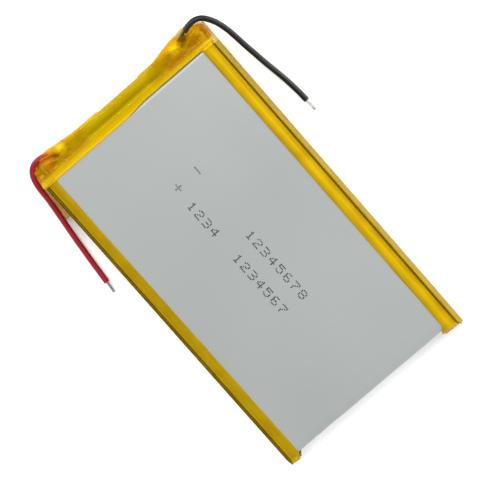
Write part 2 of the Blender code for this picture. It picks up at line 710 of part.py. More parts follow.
def make_lead(colour, pole, route, insulation, mats):
    line = smooth_line(route, LEAD_STEP)
    lead = tube(f"{colour}_lead", line, LEAD_DIAMETER, insulation)
    end = (line[-1] - line[-2]).normalized()
    start = line[-1] + end * PIECE_GAP
    tube(f"{colour}_lead_tip", [start, start + end * TIP_LENGTH], STRAND_DIAMETER, mats["tinned"])
    side = math.copysign(1.0, line[0].x)
    solder_x = line[0].x - side * SOLDER_SET_BACK
    inner = [
        Vector((solder_x + side * ROOT_START, SOLDER_Y, LEAD_HEIGHT)),
        Vector((line[0].x - side * PIECE_GAP, SOLDER_Y, LEAD_HEIGHT)),
    ]
    tube(f"{colour}_lead_root", inner, STRAND_DIAMETER, mats["tinned"])
    solder_joint(f"{pole}_solder", solder_x, line[0].x + side * MM, mats["solder"])
    return lead


def make_materials():
    return {
        "laminate": material("laminate", (0.66, 0.69, 0.68), 0.38, 0.55),
        "amber_tape": material("amber_tape", (0.80, 0.52, 0.02), 0.22, 0.0, 0.75),
        "wrap_tape": material("wrap_tape", (0.72, 0.42, 0.02), 0.20, 0.0, 0.75),
        "cathode": material("cathode", (0.06, 0.06, 0.065), 0.75),
        "anode": material("anode", (0.13, 0.12, 0.12), 0.80),
        "separator": material("separator", (0.92, 0.92, 0.90), 0.60),
        "closing_tape": material("closing_tape", (0.30, 0.55, 0.35), 0.45),
        "aluminium": material("aluminium", (0.80, 0.81, 0.82), 0.30, 1.0),
        "nickel": material("nickel", (0.66, 0.63, 0.58), 0.28, 1.0),
        "film": material("film", (0.88, 0.88, 0.84), 0.45),
        "paper": material("paper", (0.30, 0.42, 0.22), 0.85),
        "board": material("board", (0.02, 0.16, 0.06), 0.40),
        "chip": material("chip", (0.03, 0.03, 0.035), 0.55),
        "resistor": material("resistor", (0.05, 0.05, 0.06), 0.40),
        "capacitor": material("capacitor", (0.45, 0.30, 0.18), 0.50),
        "solder": material("solder", (0.75, 0.75, 0.74), 0.30, 1.0),
        "tinned": material("tinned", (0.78, 0.77, 0.75), 0.28, 1.0),
        "red": material("red", (0.42, 0.01, 0.02), 0.35),
        "black": material("black", (0.02, 0.02, 0.022), 0.40),
    }


def main():
    clear_scene()
    mats = make_materials()
    make_pouch(mats["laminate"])
    make_electrode_roll(mats["cathode"], mats["anode"], mats["separator"], mats["closing_tape"])
    make_terminals(mats)
    make_board(mats)
    make_side_tape("side_tape_left", -1, mats["amber_tape"])
    make_side_tape("side_tape_right", 1, mats["amber_tape"])
    make_terminal_wrap(mats["wrap_tape"])
    make_lead("black", "negative", BLACK_ROUTE, mats["black"], mats)
    make_lead("red", "positive", RED_ROUTE, mats["red"], mats)


main()
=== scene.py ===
"""Looks of the pouch battery cell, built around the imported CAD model. Metres, in the CAD's own frame."""

import math

import bmesh
import bpy
import numpy as np
from mathutils import Matrix, Vector, noise


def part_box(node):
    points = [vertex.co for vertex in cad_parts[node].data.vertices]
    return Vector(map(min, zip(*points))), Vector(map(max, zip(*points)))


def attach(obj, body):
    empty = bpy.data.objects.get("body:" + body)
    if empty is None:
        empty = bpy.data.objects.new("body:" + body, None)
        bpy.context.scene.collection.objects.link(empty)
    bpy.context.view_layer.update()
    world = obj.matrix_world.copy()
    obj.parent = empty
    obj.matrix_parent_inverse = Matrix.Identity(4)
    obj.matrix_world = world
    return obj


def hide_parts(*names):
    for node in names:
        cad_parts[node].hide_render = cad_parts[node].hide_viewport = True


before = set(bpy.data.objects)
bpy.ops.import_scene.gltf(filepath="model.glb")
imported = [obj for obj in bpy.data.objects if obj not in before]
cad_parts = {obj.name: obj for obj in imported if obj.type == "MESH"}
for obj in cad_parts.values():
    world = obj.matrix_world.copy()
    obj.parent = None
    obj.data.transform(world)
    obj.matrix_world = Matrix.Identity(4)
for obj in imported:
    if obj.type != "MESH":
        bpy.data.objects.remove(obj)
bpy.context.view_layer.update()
MM = 0.001

EAR_LENGTH = 2.4 * MM  # seal ears past the folded end
TERMINAL_DEPTH = 6.0 * MM  # from the cup's end wall to the outer end of the wrap
WRAP_TOP_LAP = 0.7 * MM  # lap of the wrap on the drawn face
WRAP_BOTTOM_LAP = 4.0 * MM
WRAP_UNDER_REACH = 5.6 * MM  # of the leaf under the cell, past the cup's end wall
SEAL_OVERRUN = 4.6 * MM  # the side seals run on past the cup's end wall

# Places taken from the frame
WRAP_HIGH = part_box("terminal_wrap")[1]
TAPE_LOW, TAPE_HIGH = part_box("side_tape_right")
X_OUT = WRAP_HIGH.x
Y_EAR = TAPE_LOW.y
Y_FOLD = Y_EAR + EAR_LENGTH
Y_CUP = WRAP_HIGH.y - TERMINAL_DEPTH
Y_LAP = Y_CUP - WRAP_TOP_LAP
X_TAPE = TAPE_HIGH.x
X_PLY = X_TAPE - 0.28 * MM  # outside of the inner seal ply
X_WALL = X_TAPE - 0.62 * MM  # side wall of the cup

# Places chosen to suit them
X_FACE = 25.8 * MM  # inner edge of the side tapes
Z_TOP = 8.84 * MM  # drawn face of the pouch
Z_RIM = 0.36 * MM  # lower edge of the cup's walls

# Thickness of the sheets
CUP_LAMINATE = 0.10 * MM
PLY_LAMINATE = 0.12 * MM
TAPE = 0.05 * MM
WRAP_FILM = 0.04 * MM

# Shoulder of the cup under the side tapes: it slopes away from the face, then turns down into the wall
SHOULDER_WIDTH = 3.4 * MM
SLOPE_DROP = 1.05 * MM
TURN_WIDTH = 0.55 * MM
SHOULDER_DROP = SLOPE_DROP + TURN_WIDTH

# Middles of the solder joints, in mm
JOINTS = [(-20.4, 52.0), (20.0, 52.0)]

TONE = 0.8  # scale of every colour against the white floor

# Strands of a lead's tip: six twisted round a seventh
OUTER_STRANDS = 6
STRAND_RADIUS = 0.125 * MM
STRAND_LENGTH = 3.4 * MM  # longest strand, past the end of the insulation
STRAND_ROOT = 0.2 * MM  # hidden in the insulation
STRAND_TWIST = 2.4  # radians over its length
STRAND_UNEVEN = 0.05  # share by which the shorter strands step back

# Leads
LEAD_DIAMETER = 1.6 * MM
LEAD_STEP = 0.8 * MM  # spacing of the points along a lead
CURVE_SAMPLES = 24  # between two given points, before the even spacing
BLACK_ROUTE = [
    (21.6, 52.0, 5.0), (23.3, 52.9, 5.1), (25.4, 53.8, 5.1), (27.2, 54.3, 5.0),
    (29.1, 54.3, 4.85), (30.9, 53.4, 4.6), (32.2, 51.6, 4.2), (33.1, 49.6, 3.8),
    (33.8, 46.8, 3.3), (34.2, 43.7, 2.8), (34.5, 40.5, 2.3), (34.9, 37.4, 1.9),
    (35.3, 34.2, 1.5), (35.8, 31.0, 1.2), (36.3, 27.9, 1.0), (36.7, 24.7, 0.88),
    (37.0, 21.5, 0.84), (37.1, 18.9, 0.84),
]
RED_ROUTE = [
    (-22.0, 52.1, 5.0), (-23.6, 52.8, 5.1), (-25.6, 53.4, 5.1), (-27.6, 53.6, 5.0),
    (-29.5, 53.1, 4.85), (-31.0, 51.7, 4.5), (-31.9, 49.6, 4.1), (-32.4, 46.8, 3.6),
    (-32.7, 43.6, 3.0), (-33.2, 40.4, 2.5), (-33.7, 37.1, 2.0), (-34.2, 33.9, 1.6),
    (-34.7, 30.6, 1.25), (-35.1, 27.4, 1.0), (-35.5, 24.1, 0.88), (-35.8, 20.9, 0.84),
    (-36.1, 17.7, 0.84), (-36.2, 16.7, 0.84),
]


# ---- helpers


def hermite(points, value):
    """Height of a smooth curve through (place, height) points, flat beyond its ends."""
    if value <= points[0][0]:
        return points[0][1]
    if value >= points[-1][0]:
        return points[-1][1]
    for i in range(len(points) - 1):
        if value <= points[i + 1][0]:
            break

    def slope(k):
        low, high = max(0, k - 1), min(len(points) - 1, k + 1)
        return (points[high][1] - points[low][1]) / (points[high][0] - points[low][0])

    (x0, y0), (x1, y1) = points[i], points[i + 1]
    span = x1 - x0
    t = (value - x0) / span
    return (
        (2 * t**3 - 3 * t**2 + 1) * y0
        + (t**3 - 2 * t**2 + t) * span * slope(i)
        + (3 * t**2 - 2 * t**3) * y1
        + (t**3 - t**2) * span * slope(i + 1)
    )


def smooth_step(low, high, value):
    t = min(1.0, max(0.0, (value - low) / (high - low)))
    return t * t * (3 - 2 * t)


def noise_at(x, y, z, size):
    """Smooth noise from -1 to 1, with features of about the given size."""
    return noise.noise(Vector((x, y, z)) / size)


def ridged(x, y, z, size, octaves=3):
    """Creased noise from 0 to 1, sharp along its ridges, as crumpled film is."""
    total, weight, scale = 0.0, 0.5, 1.0
    for _ in range(octaves):
        total += weight * (1.0 - abs(noise.noise(Vector((x, y, z)) * scale / size))) ** 2
        weight *= 0.5
        scale *= 2.1
    return total


def smooth_line(points, step):
    """Points about a step apart on a Catmull-Rom curve through the given points, and its length."""
    line = [Vector(p) for p in points]
    padded = [2 * line[0] - line[1]] + line + [2 * line[-1] - line[-2]]
    fine = []
    for a, b, c, d in zip(padded, padded[1:], padded[2:], padded[3:]):
        for i in range(CURVE_SAMPLES):
            t = i / CURVE_SAMPLES
            cubic = 3 * b - a - 3 * c + d
            fine.append(0.5 * (2 * b + (c - a) * t + (2 * a - 5 * b + 4 * c - d) * t**2 + cubic * t**3))
    fine.append(line[-1])
    lengths = [0.0]
    for a, b in zip(fine, fine[1:]):
        lengths.append(lengths[-1] + (b - a).length)
    count = max(2, round(lengths[-1] / step))
    spaced = []
    index = 0
    for i in range(count + 1):
        target = lengths[-1] * i / count
        while index < len(fine) - 2 and lengths[index + 1] < target:
            index += 1
        part = (target - lengths[index]) / (lengths[index + 1] - lengths[index])
        spaced.append(fine[index].lerp(fine[index + 1], min(1.0, part)))
    return spaced, lengths[-1]


def mesh_object(name, verts, faces, material, smooth=True):
    mesh = bpy.data.meshes.new(name)
    mesh.from_pydata([tuple(v) for v in verts], [], faces)
    mesh.validate()
    bm = bmesh.new()
    bm.from_mesh(mesh)
    bmesh.ops.recalc_face_normals(bm, faces=bm.faces)
    bm.to_mesh(mesh)
    bm.free()
    mesh.materials.append(material)
    if smooth:
        mesh.shade_smooth()
    obj = bpy.data.objects.new(name, mesh)
    bpy.context.scene.collection.objects.link(obj)
    return obj


def grid_faces(rows, columns, closed=False):
    """Quads of a grid of points stored row by row; closed joins the last column to the first."""
    faces = []
    for i in range(rows - 1):
        for j in range(columns if closed else columns - 1):
            k = (j + 1) % columns
            faces.append((i * columns + j, i * columns + k, (i + 1) * columns + k, (i + 1) * columns + j))
    return faces


def tube_faces(base, rows, sides):
    """Faces of a capped tube whose points start at a base index and are stored ring by ring."""
    faces = [tuple(base + f for f in face) for face in grid_faces(rows, sides, closed=True)]
    faces.append(tuple(base + k for k in range(sides)))
    faces.append(tuple(base + (rows - 1) * sides + k for k in range(sides)))
    return faces


def thicken(obj, thickness, offset=0.0):
    """Gives a sheet its thickness: centred for an offset of 0, all on one side for -1."""
    solidify = obj.modifiers.new("thickness", "SOLIDIFY")
    solidify.thickness = thickness
    solidify.offset = offset
    graph = bpy.context.evaluated_depsgraph_get()
    mesh = bpy.data.meshes.new_from_object(obj.evaluated_get(graph))
    obj.modifiers.clear()
    obj.data = mesh


def sheet(name, points, columns, key, thickness, offset=0.0):
    """An open sheet through a grid of points stored row by row, given its thickness."""
    made = mesh_object(name, points, grid_faces(len(points) // columns, columns), MATERIALS[key])
    thicken(made, thickness, offset)
    return made


class Tree:
    """A material's node tree, written node by node."""

    def __init__(self, name, tone=TONE):
        self.tone = tone
        self.material = bpy.data.materials.new(name)
        self.material.use_nodes = True
        self.nodes = self.material.node_tree.nodes
        self.links = self.material.node_tree.links
        self.nodes.clear()
        self.coords = self.node("ShaderNodeTexCoord").outputs["Object"]

    def node(self, kind, inputs=None, **settings):
        made = self.nodes.new(kind)
        for key, value in settings.items():
            setattr(made, key, value)
        for key, value in (inputs or {}).items():
            if isinstance(value, bpy.types.NodeSocket):
                self.links.new(value, made.inputs[key])
            else:
                made.inputs[key].default_value = value
        return made

    def noise(self, scale, detail=2.0, stretch=(1, 1, 1)):
        """Noise over the object's own coordinates; scale is features per metre."""
        mapped = self.node("ShaderNodeMapping", {"Vector": self.coords, "Scale": stretch}).outputs[0]
        texture = self.node("ShaderNodeTexNoise", {"Vector": mapped, "Scale": scale, "Detail": detail})
        return texture.outputs["Fac"]

    def ramp(self, value, stops):
        """Colours by value; stops are (place, colour)."""
        ramp = self.node("ShaderNodeValToRGB", {"Fac": value})
        elements = ramp.color_ramp.elements
        while len(elements) < len(stops):
            elements.new(0.5)
        for element, (place, colour) in zip(elements, stops):
            element.position = place
            element.color = (*(self.tone * share for share in colour), 1.0)
        return ramp.outputs["Color"]

    def mix(self, factor, first, second, blend="MIX"):
        first, second = ((*value, 1.0) if isinstance(value, tuple) else value for value in (first, second))
        inputs = {0: factor, 6: first, 7: second}
        return self.node("ShaderNodeMix", inputs, data_type="RGBA", blend_type=blend).outputs[2]

    def remap(self, value, low, high, out_low, out_high):
        return self.node(
            "ShaderNodeMapRange",
            {"Value": value, "From Min": low, "From Max": high, "To Min": out_low, "To Max": out_high},
        ).outputs[0]

    def maths(self, operation, first, second=0.0):
        return self.node("ShaderNodeMath", {0: first, 1: second}, operation=operation).outputs[0]

    def nearby(self, place, inside, outside):
        """1 within a distance of a place, 0 beyond another; all in mm."""
        centre = tuple(c * MM for c in place)
        gap = self.node("ShaderNodeVectorMath", {0: self.coords, 1: centre}, operation="DISTANCE")
        return self.remap(gap.outputs["Value"], inside * MM, outside * MM, 1.0, 0.0)

    def bump(self, height, distance, strength=1.0, normal=None):
        inputs = {"Height": height, "Distance": distance, "Strength": strength}
        if normal is not None:
            inputs["Normal"] = normal
        return self.node("ShaderNodeBump", inputs).outputs[0]

    def finish(self, shader):
        self.node("ShaderNodeOutputMaterial", {"Surface": shader})
        return self.material

    def principled(self, inputs):
        return self.node("ShaderNodeBsdfPrincipled", inputs).outputs[0]

    def surface(self, inputs):
        """Finishes the material with one principled shader."""
        return self.finish(self.principled(inputs))


# ---- materials


def laminate_material():
    """Satin aluminium laminate: even grey, a fine matt grain and faint long undulations."""
    t = Tree("laminate")
    colour = t.ramp(t.noise(22.0, 2.0), [(0.3, (0.330, 0.350, 0.345)), (0.7, (0.355, 0.372, 0.367))])
    grain = t.noise(5200.0, 2.0)
    waves = t.noise(60.0, 2.0, (1, 0.5, 1))
    normal = t.bump(grain, 0.004 * MM, 0.5, t.bump(waves, 0.05 * MM, 0.6))
    return t.surface(
        {
            "Base Color": colour,
            "Metallic": 0.35,
            "Roughness": t.remap(grain, 0.3, 0.7, 0.40, 0.50),
            "Normal": normal,
        }
    )


def across_shade(t, x, stops):
    """Painted light and shade: greys by distance from the middle of the cell; stops are (mm, share of
    light).
    """
    low, high = stops[0][0], stops[-1][0]
    place = t.remap(t.maths("ABSOLUTE", x), low * MM, high * MM, 0.0, 1.0)
    stops = [((mm - low) / (high - low), (share / t.tone,) * 3) for mm, share in stops]
    return t.ramp(place, stops)


def film_grain(t, colours, streak_size, stretch):
    """Streaks and broad patches of a film, and the colour they give together."""
    streaks = t.noise(1.0 / streak_size, 3.0, stretch)
    patches = t.noise(170.0, 1.5)
    blend = t.maths("ADD", t.maths("MULTIPLY", streaks, 0.55), t.maths("MULTIPLY", patches, 0.45))
    return streaks, patches, t.ramp(blend, colours)


def film_shader(t, colour, through, cover, streaks, patches, gloss=0.40, rough=(0.15, 0.26)):
    """See-through coloured film: a tinted clear share, and a glossy coloured share that covers it."""
    body = t.principled(
        {
            "Base Color": colour,
            "Roughness": t.remap(patches, 0.3, 0.7, *rough),
            "Specular IOR Level": gloss,
            "Specular Tint": (1.0, 0.80, 0.22, 1.0),
            "Normal": t.bump(streaks, 0.04 * MM, 0.6, t.bump(patches, 0.20 * MM, 0.25)),
        }
    )
    clear = t.node("ShaderNodeBsdfTransparent", {"Color": through}).outputs[0]
    mixed = t.node("ShaderNodeMixShader", {"Fac": cover})
    t.links.new(clear, mixed.inputs[1])
    t.links.new(body, mixed.inputs[2])
    return t.finish(mixed.outputs[0])


def side_tape_material(name, cover, **surface):
    """Amber tape, with painted shade and painted highlight in bands along the left and the right side, in
    its colour and in the tint of its clear share.
    """
    t = Tree(name)
    streaks, patches, colour = film_grain(t, AMBER, TAPE_STREAK, ALONG_Y)
    x = t.node("ShaderNodeSeparateXYZ", {"Vector": t.coords}).outputs["X"]
    left, right = (across_shade(t, x, stops) for stops in (LEFT_SHADES, RIGHT_SHADES))
    # painted shade and painted highlight, multiplied into the colour and the clear tint below
    shade = t.mix(t.remap(x, -MM, MM, 0.0, 1.0), left, right)
    colour = t.mix(1.0, colour, shade, "MULTIPLY")
    through = t.mix(1.0, AMBER_TINT, shade, "MULTIPLY")
    wall = t.remap(t.maths("ABSOLUTE", x), X_WALL, X_PLY, 1.0, 0.15)
    return film_shader(t, colour, through, cover, t.maths("MULTIPLY", streaks, wall), patches, **surface)


def wrap_material():
    """Amber film over the terminal end: its colour and cover change over the joints, leads and shoulder,
    with a painted highlight over each joint.
    """
    t = Tree("wrap_tape")
    streaks, patches, colour = film_grain(t, WRAP_AMBER, WRAP_STREAK, ALONG_X)
    place = t.node("ShaderNodeSeparateXYZ", {"Vector": t.coords}).outputs
    outward = t.remap(t.maths("ABSOLUTE", place["X"]), 9.0 * MM, 16.0 * MM, 0.0, 1.0)
    outward = t.maths("MULTIPLY", outward, t.remap(place["Y"], 47.4 * MM, 48.6 * MM, 0.12, 1.0))
    blotches = t.remap(t.noise(260.0, 1.5), 0.34, 0.60, 0.30, 1.0)
    colour = t.mix(t.maths("MULTIPLY", outward, blotches), colour, (0.50, 0.22, 0.002))
    # painted highlight: bright yellow on the film over each solder joint
    for cx, cy in JOINTS:
        joint_highlight = t.nearby((cx, cy, 5.8), 1.0, 2.2)
        colour = t.mix(t.maths("MULTIPLY", joint_highlight, 0.95), colour, (0.98, 0.76, 0.01))
    on_red = t.nearby(FILM_ON_RED, 1.4, 2.4)
    colour = t.mix(on_red, colour, (0.98, 0.40, 0.03))
    shoulder = t.remap(place["Y"], 47.6 * MM, 48.8 * MM, 1.0, 0.0)
    colour = t.mix(shoulder, colour, (0.60, 0.42, 0.003))
    web = t.nearby(FILM_WEB, 0.6, 1.3)
    colour = t.mix(web, colour, (0.40, 0.38, 0.24))
    near_red = t.remap(on_red, 0.0, 1.0, 0.0, WRAP_COVER - 0.20)
    on_black = t.remap(t.nearby(FILM_ON_BLACK, 0.9, 1.7), 0.0, 1.0, 0.0, WRAP_COVER - 0.08)
    cover = t.maths("SUBTRACT", t.maths("SUBTRACT", WRAP_COVER, near_red), on_black)
    cover = t.maths("ADD", cover, t.maths("MULTIPLY", shoulder, 0.25))
    cover = t.maths("ADD", cover, t.maths("MULTIPLY", web, 0.45))
    return film_shader(t, colour, (*WRAP_TINT, 1.0), cover, streaks, patches, rough=(0.08, 0.17))


def flap_material():
    """The wrap's loose flap: paler and browner, with a white floor behind it."""
    t = Tree("flap_tape")
    streaks, patches, colour = film_grain(t, FLAP_AMBER, WRAP_STREAK, ALONG_Y)
    return film_shader(t, colour, (*FLAP_TINT, 1.0), 0.75, streaks, patches)


def insulation_material(name, dark, light, roughness):
    """Flexible wire insulation: satin, with faint extrusion lines and scuffs."""
    t = Tree(name)
    scuffs = t.noise(420.0, 4.0, (1, 0.25, 1))
    grain = t.noise(3600.0, 2.0)
    return t.surface(
        {
            "Base Color": t.ramp(scuffs, [(0.35, dark), (0.75, light)]),
            "Roughness": t.remap(scuffs, 0.3, 0.7, roughness - 0.06, roughness + 0.1),
            "Specular IOR Level": 0.28,
            "Normal": t.bump(grain, 0.01 * MM, 0.4),
        }
    )


def metal(name, dark, light, roughness, scale, stretch=(1, 1, 1), depth=0.01 * MM):
    """Metal with a fine uneven grain."""
    t = Tree(name)
    texture = t.noise(scale, 4.0, stretch)
    return t.surface(
        {
            "Base Color": t.ramp(texture, [(0.3, dark), (0.7, light)]),
            "Metallic": 1.0,
            "Roughness": t.remap(texture, 0.3, 0.7, roughness - 0.07, roughness + 0.1),
            "Normal": t.bump(texture, depth, 0.6),
        }
    )


def matt(name, dark, light, roughness, scale, stretch=(1, 1, 1), coat=0.0, tone=TONE):
    """Uneven matt colour with a fine grain."""
    t = Tree(name, tone)
    texture = t.noise(scale, 5.0, stretch)
    return t.surface(
        {
            "Base Color": t.ramp(texture, [(0.3, dark), (0.7, light)]),
            "Roughness": t.remap(texture, 0.3, 0.7, roughness - 0.08, roughness + 0.08),
            "Normal": t.bump(texture, 0.02 * MM, 0.5),
            "Coat Weight": coat,
        }
    )


# Colours of the films' coloured share by their grain, and the tint of their clear share
AMBER = [(0.32, (0.66, 0.40, 0.001)), (0.50, (0.82, 0.52, 0.002)), (0.68, (0.92, 0.64, 0.004))]
WRAP_AMBER = [(0.32, (0.74, 0.55, 0.001)), (0.50, (0.82, 0.64, 0.001)), (0.68, (0.90, 0.73, 0.003))]
FLAP_AMBER = [(0.32, (0.48, 0.28, 0.06)), (0.50, (0.56, 0.34, 0.09)), (0.68, (0.64, 0.42, 0.13))]
AMBER_TINT = (0.97, 0.76, 0.03)
WRAP_TINT = (0.97, 0.78, 0.02)
FLAP_TINT = (0.82, 0.58, 0.24)
WRAP_COVER = 0.30
# Size of the streaks, and how the grain is stretched
TAPE_STREAK = 0.35 * MM
WRAP_STREAK = 1.2 * MM
ALONG_Y = (1, 0.03, 1)
ALONG_X = (0.05, 1, 1)
ROLLED = (1, 0.05, 1)
SOLDER_GRAIN = 0.05 * MM  # depth
# Places on the wrap in mm: where it clings to each lead, and the clear web beside the black one
FILM_ON_RED = (-25.4, 53.1, 5.7)
FILM_ON_BLACK = (23.6, 53.1, 5.9)
FILM_WEB = (23.2, 54.6, 5.2)
# Painted light and shade of the side tapes, as share of light by distance from the middle in mm: face,
# shoulder, groove beside the seal, seal, wall
LEFT_SHADES = [
    (25.0, 0.66), (26.2, 0.64), (27.4, 0.66), (28.5, 0.66), (28.9, 0.85), (29.15, 0.90), (29.36, 0.78),
    (29.50, 0.30), (29.58, 0.10), (29.88, 0.08), (29.94, 0.53), (30.2, 0.60),
]
RIGHT_SHADES = [
    (24.0, 0.62), (26.2, 0.62), (27.0, 0.78), (27.8, 0.90), (28.4, 0.76), (28.8, 0.76), (29.05, 0.95),
    (29.3, 0.60), (29.5, 0.34), (29.65, 0.36), (29.85, 0.56), (30.2, 0.60),
]

MATERIALS = {
    "laminate": laminate_material(),
    "amber": side_tape_material("amber_tape", 0.6),
    "amber_wall": side_tape_material("amber_tape_side", 0.75, gloss=0.08, rough=(0.45, 0.55)),
    "wrap": wrap_material(),
    "flap": flap_material(),
    "red": insulation_material("red_insulation", (0.23, 0.002, 0.010), (0.34, 0.005, 0.018), 0.34),
    "black": insulation_material("black_insulation", (0.002, 0.002, 0.0025), (0.008, 0.008, 0.009), 0.36),
    "tinned": metal("tinned_wire", (0.36, 0.36, 0.37), (0.60, 0.60, 0.60), 0.30, 2200.0),
    "solder": metal("solder", (0.58, 0.57, 0.56), (0.86, 0.85, 0.84), 0.22, 700.0, depth=SOLDER_GRAIN),
    "nickel": metal("nickel", (0.52, 0.50, 0.46), (0.72, 0.69, 0.64), 0.28, 2500.0, ROLLED),
    "aluminium": metal("aluminium_tab", (0.70, 0.71, 0.72), (0.85, 0.86, 0.87), 0.30, 2500.0, ROLLED),
    "board": matt("circuit_board", (0.010, 0.075, 0.028), (0.02, 0.14, 0.05), 0.30, 500.0, coat=0.5),
    "chip": matt("chip", (0.014, 0.014, 0.016), (0.03, 0.03, 0.034), 0.55, 2500.0),
    "capacitor": matt("capacitor", (0.30, 0.19, 0.10), (0.48, 0.33, 0.20), 0.5, 1500.0),
    "paper": matt("insulating_paper", (0.20, 0.32, 0.14), (0.34, 0.46, 0.24), 0.85, 900.0, (1, 0.3, 1)),
    "film": matt("tab_film", (0.74, 0.74, 0.68), (0.88, 0.88, 0.84), 0.45, 400.0),
    "cathode": matt("cathode", (0.03, 0.03, 0.033), (0.06, 0.06, 0.065), 0.75, 3000.0),
    "anode": matt("anode", (0.06, 0.06, 0.06), (0.13, 0.13, 0.12), 0.80, 3000.0),
    "separator": matt("separator", (0.80, 0.80, 0.78), (0.92, 0.92, 0.90), 0.6, 1500.0),
    "closing_tape": matt("closing_tape", (0.12, 0.34, 0.16), (0.22, 0.48, 0.26), 0.4, 600.0),
    "ink": matt("ink", (0.003, 0.003, 0.004), (0.008, 0.008, 0.009), 0.6, 3000.0),
    "floor": matt("floor", (0.90, 0.90, 0.90), (0.93, 0.93, 0.93), 0.7, 40.0, tone=1.0),
}
# CAD nodes that keep their own mesh, by material
CARRIED = {
    "laminate": ["pouch_cover"],
    "cathode": ["positive_electrode"],
    "anode": ["negative_electrode"],
    "separator": ["separator_inner", "separator_outer"],
    "closing_tape": ["roll_closing_tape"],
    "aluminium": ["positive_tab"],
    "nickel": ["negative_tab", "positive_link", "negative_link"],
    "film": ["positive_film_upper", "positive_film_lower", "negative_film_upper", "negative_film_lower"],
    "paper": ["insulating_paper"],
    "board": ["protection_board"],
    "chip": ["protection_ic", "mosfet_a", "mosfet_b", "supply_resistor", "sense_resistor"],
    "capacitor": ["filter_capacitor"],
    "tinned": ["red_lead_root", "black_lead_root"],
}


def carry_over():
    for key, nodes in CARRIED.items():
        for node in nodes:
            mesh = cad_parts[node].data
            mesh.materials.clear()
            mesh.materials.append(MATERIALS[key])


# ---- camera, lights, floor


def make_camera():
    """The camera looks down from 0.65 m, tilted towards the black lead and the terminal end."""
    place = Vector((120.0, 64.2, 643.6)) * MM
    target = Vector((-0.5, 2.4, 4.5)) * MM
    roll = math.radians(-41.3)
    forward = (target - place).normalized()
    right = forward.cross(Vector((0, 1, 0))).normalized()
    up = right.cross(forward)
    turned_right = math.cos(roll) * right + math.sin(roll) * up
    turned_up = math.cos(roll) * up - math.sin(roll) * right
    data = bpy.data.cameras.new("camera")
    data.sensor_width = 36.0
    data.lens = 184.2
    data.clip_start = 0.05
    camera = bpy.data.objects.new("camera", data)
    basis = Matrix((turned_right, turned_up, -forward)).transposed()
    camera.matrix_world = Matrix.Translation(place) @ basis.to_4x4()
    bpy.context.scene.collection.objects.link(camera)
    bpy.context.scene.camera = camera


def area_light(name, place, size, power):
    """A rectangular light turned to the middle of the cell."""
    data = bpy.data.lights.new(name, "AREA")
    data.shape = "RECTANGLE"
    data.size, data.size_y = size
    data.energy = power
    light = bpy.data.objects.new(name, data)
    light.location = place
    light.rotation_euler = (-Vector(place)).to_track_quat("-Z", "Y").to_euler()
    bpy.context.scene.collection.objects.link(light)


def make_studio():
    """White surroundings, five lights and the floor."""
    scene = bpy.context.scene
    world = bpy.data.worlds.new("studio")
    world.use_nodes = True
    world.node_tree.nodes["Background"].inputs["Color"].default_value = (1, 1, 1, 1)
    world.node_tree.nodes["Background"].inputs["Strength"].default_value = 0.78
    scene.world = world
    scene.view_settings.view_transform = "Standard"
    area_light("key", (0.10, 0.35, 0.75), (0.6, 0.5), 2.4)
    area_light("side", (0.75, 0.10, 0.32), (0.35, 0.6), 5.6)
    area_light("end", (-0.14, 0.80, 0.40), (0.5, 0.16), 4.3)
    area_light("fold_end", (0.05, -0.85, 0.35), (0.7, 0.35), 4.0)
    area_light("glint", (0.27, 0.32, 0.77), (0.06, 0.06), 1.1)

    size, cells = 1.6, 16
    verts = []
    for i in range(cells + 1):
        for j in range(cells + 1):
            verts.append((size * (j / cells - 0.5), size * (i / cells - 0.5), 0.0))
    floor = mesh_object("floor", verts, grid_faces(cells + 1, cells + 1), MATERIALS["floor"])


# ---- leads


def make_lead(colour, route):
    points = [Vector(p) * MM for p in route]
    line, length = smooth_line(points, LEAD_STEP)
    curve = bpy.data.curves.new(f"{colour}_insulation", "CURVE")
    curve.dimensions = "3D"
    curve.bevel_depth = LEAD_DIAMETER / 2
    curve.bevel_resolution = 8
    curve.use_fill_caps = True
    spline = curve.splines.new("POLY")
    spline.points.add(len(line) - 1)
    for point, place in zip(spline.points, line):
        point.co = (*place, 1.0)
    spline.use_smooth = True
    curve.materials.append(MATERIALS[colour])
    lead = bpy.data.objects.new(f"{colour}_insulation", curve)
    bpy.context.scene.collection.objects.link(lead)
    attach(lead, "root")
    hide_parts(f"{colour}_lead")
    direction = (line[-1] - line[-2]).normalized()
    tip = make_strands(f"{colour}_strands", line[-1], direction)
    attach(tip, "root")
    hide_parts(f"{colour}_lead_tip")


def make_strands(name, start, direction):
    """Seven tinned strands twisted together, a little spread at the end."""
    side = direction.cross(Vector((0, 0, 1))).normalized()
    up = side.cross(direction).normalized()
    verts, faces = [], []
    sides, steps = 8, 22
    for strand in range(OUTER_STRANDS + 1):
        base = len(verts)
        phase = 2 * math.pi * strand / OUTER_STRANDS
        share = 1.0 - STRAND_UNEVEN * (strand % 3)
        for i in range(steps + 1):
            part = i / steps
            reach = -STRAND_ROOT + (STRAND_LENGTH + STRAND_ROOT) * part * share
            turn = phase + STRAND_TWIST * part
            in_middle = strand == OUTER_STRANDS
            spread = 0.0 if in_middle else STRAND_RADIUS * 2 * (0.98 + 0.25 * part**3)
            centre = start + direction * reach + (side * math.cos(turn) + up * math.sin(turn)) * spread
            radius = STRAND_RADIUS * (1.0 if part < 0.97 else 0.6)
            for k in range(sides):
                angle = 2 * math.pi * k / sides
                verts.append(centre + (side * math.cos(angle) + up * math.sin(angle)) * radius)
        faces += tube_faces(base, steps + 1, sides)
    return mesh_object(name, verts, faces, MATERIALS["tinned"])


# ---- pouch


def cup_height(inset):
    """Height of the cup's surface at a distance in from its wall."""
    if inset >= SHOULDER_WIDTH:
        return Z_TOP
    slope = SLOPE_DROP * ((SHOULDER_WIDTH - inset) / SHOULDER_WIDTH) ** 1.7
    part = max(0.0, (TURN_WIDTH - inset) / TURN_WIDTH)
    turn = TURN_WIDTH * (1 - math.sqrt(max(0.0, 1 - part * part)))
    return Z_TOP - slope - turn


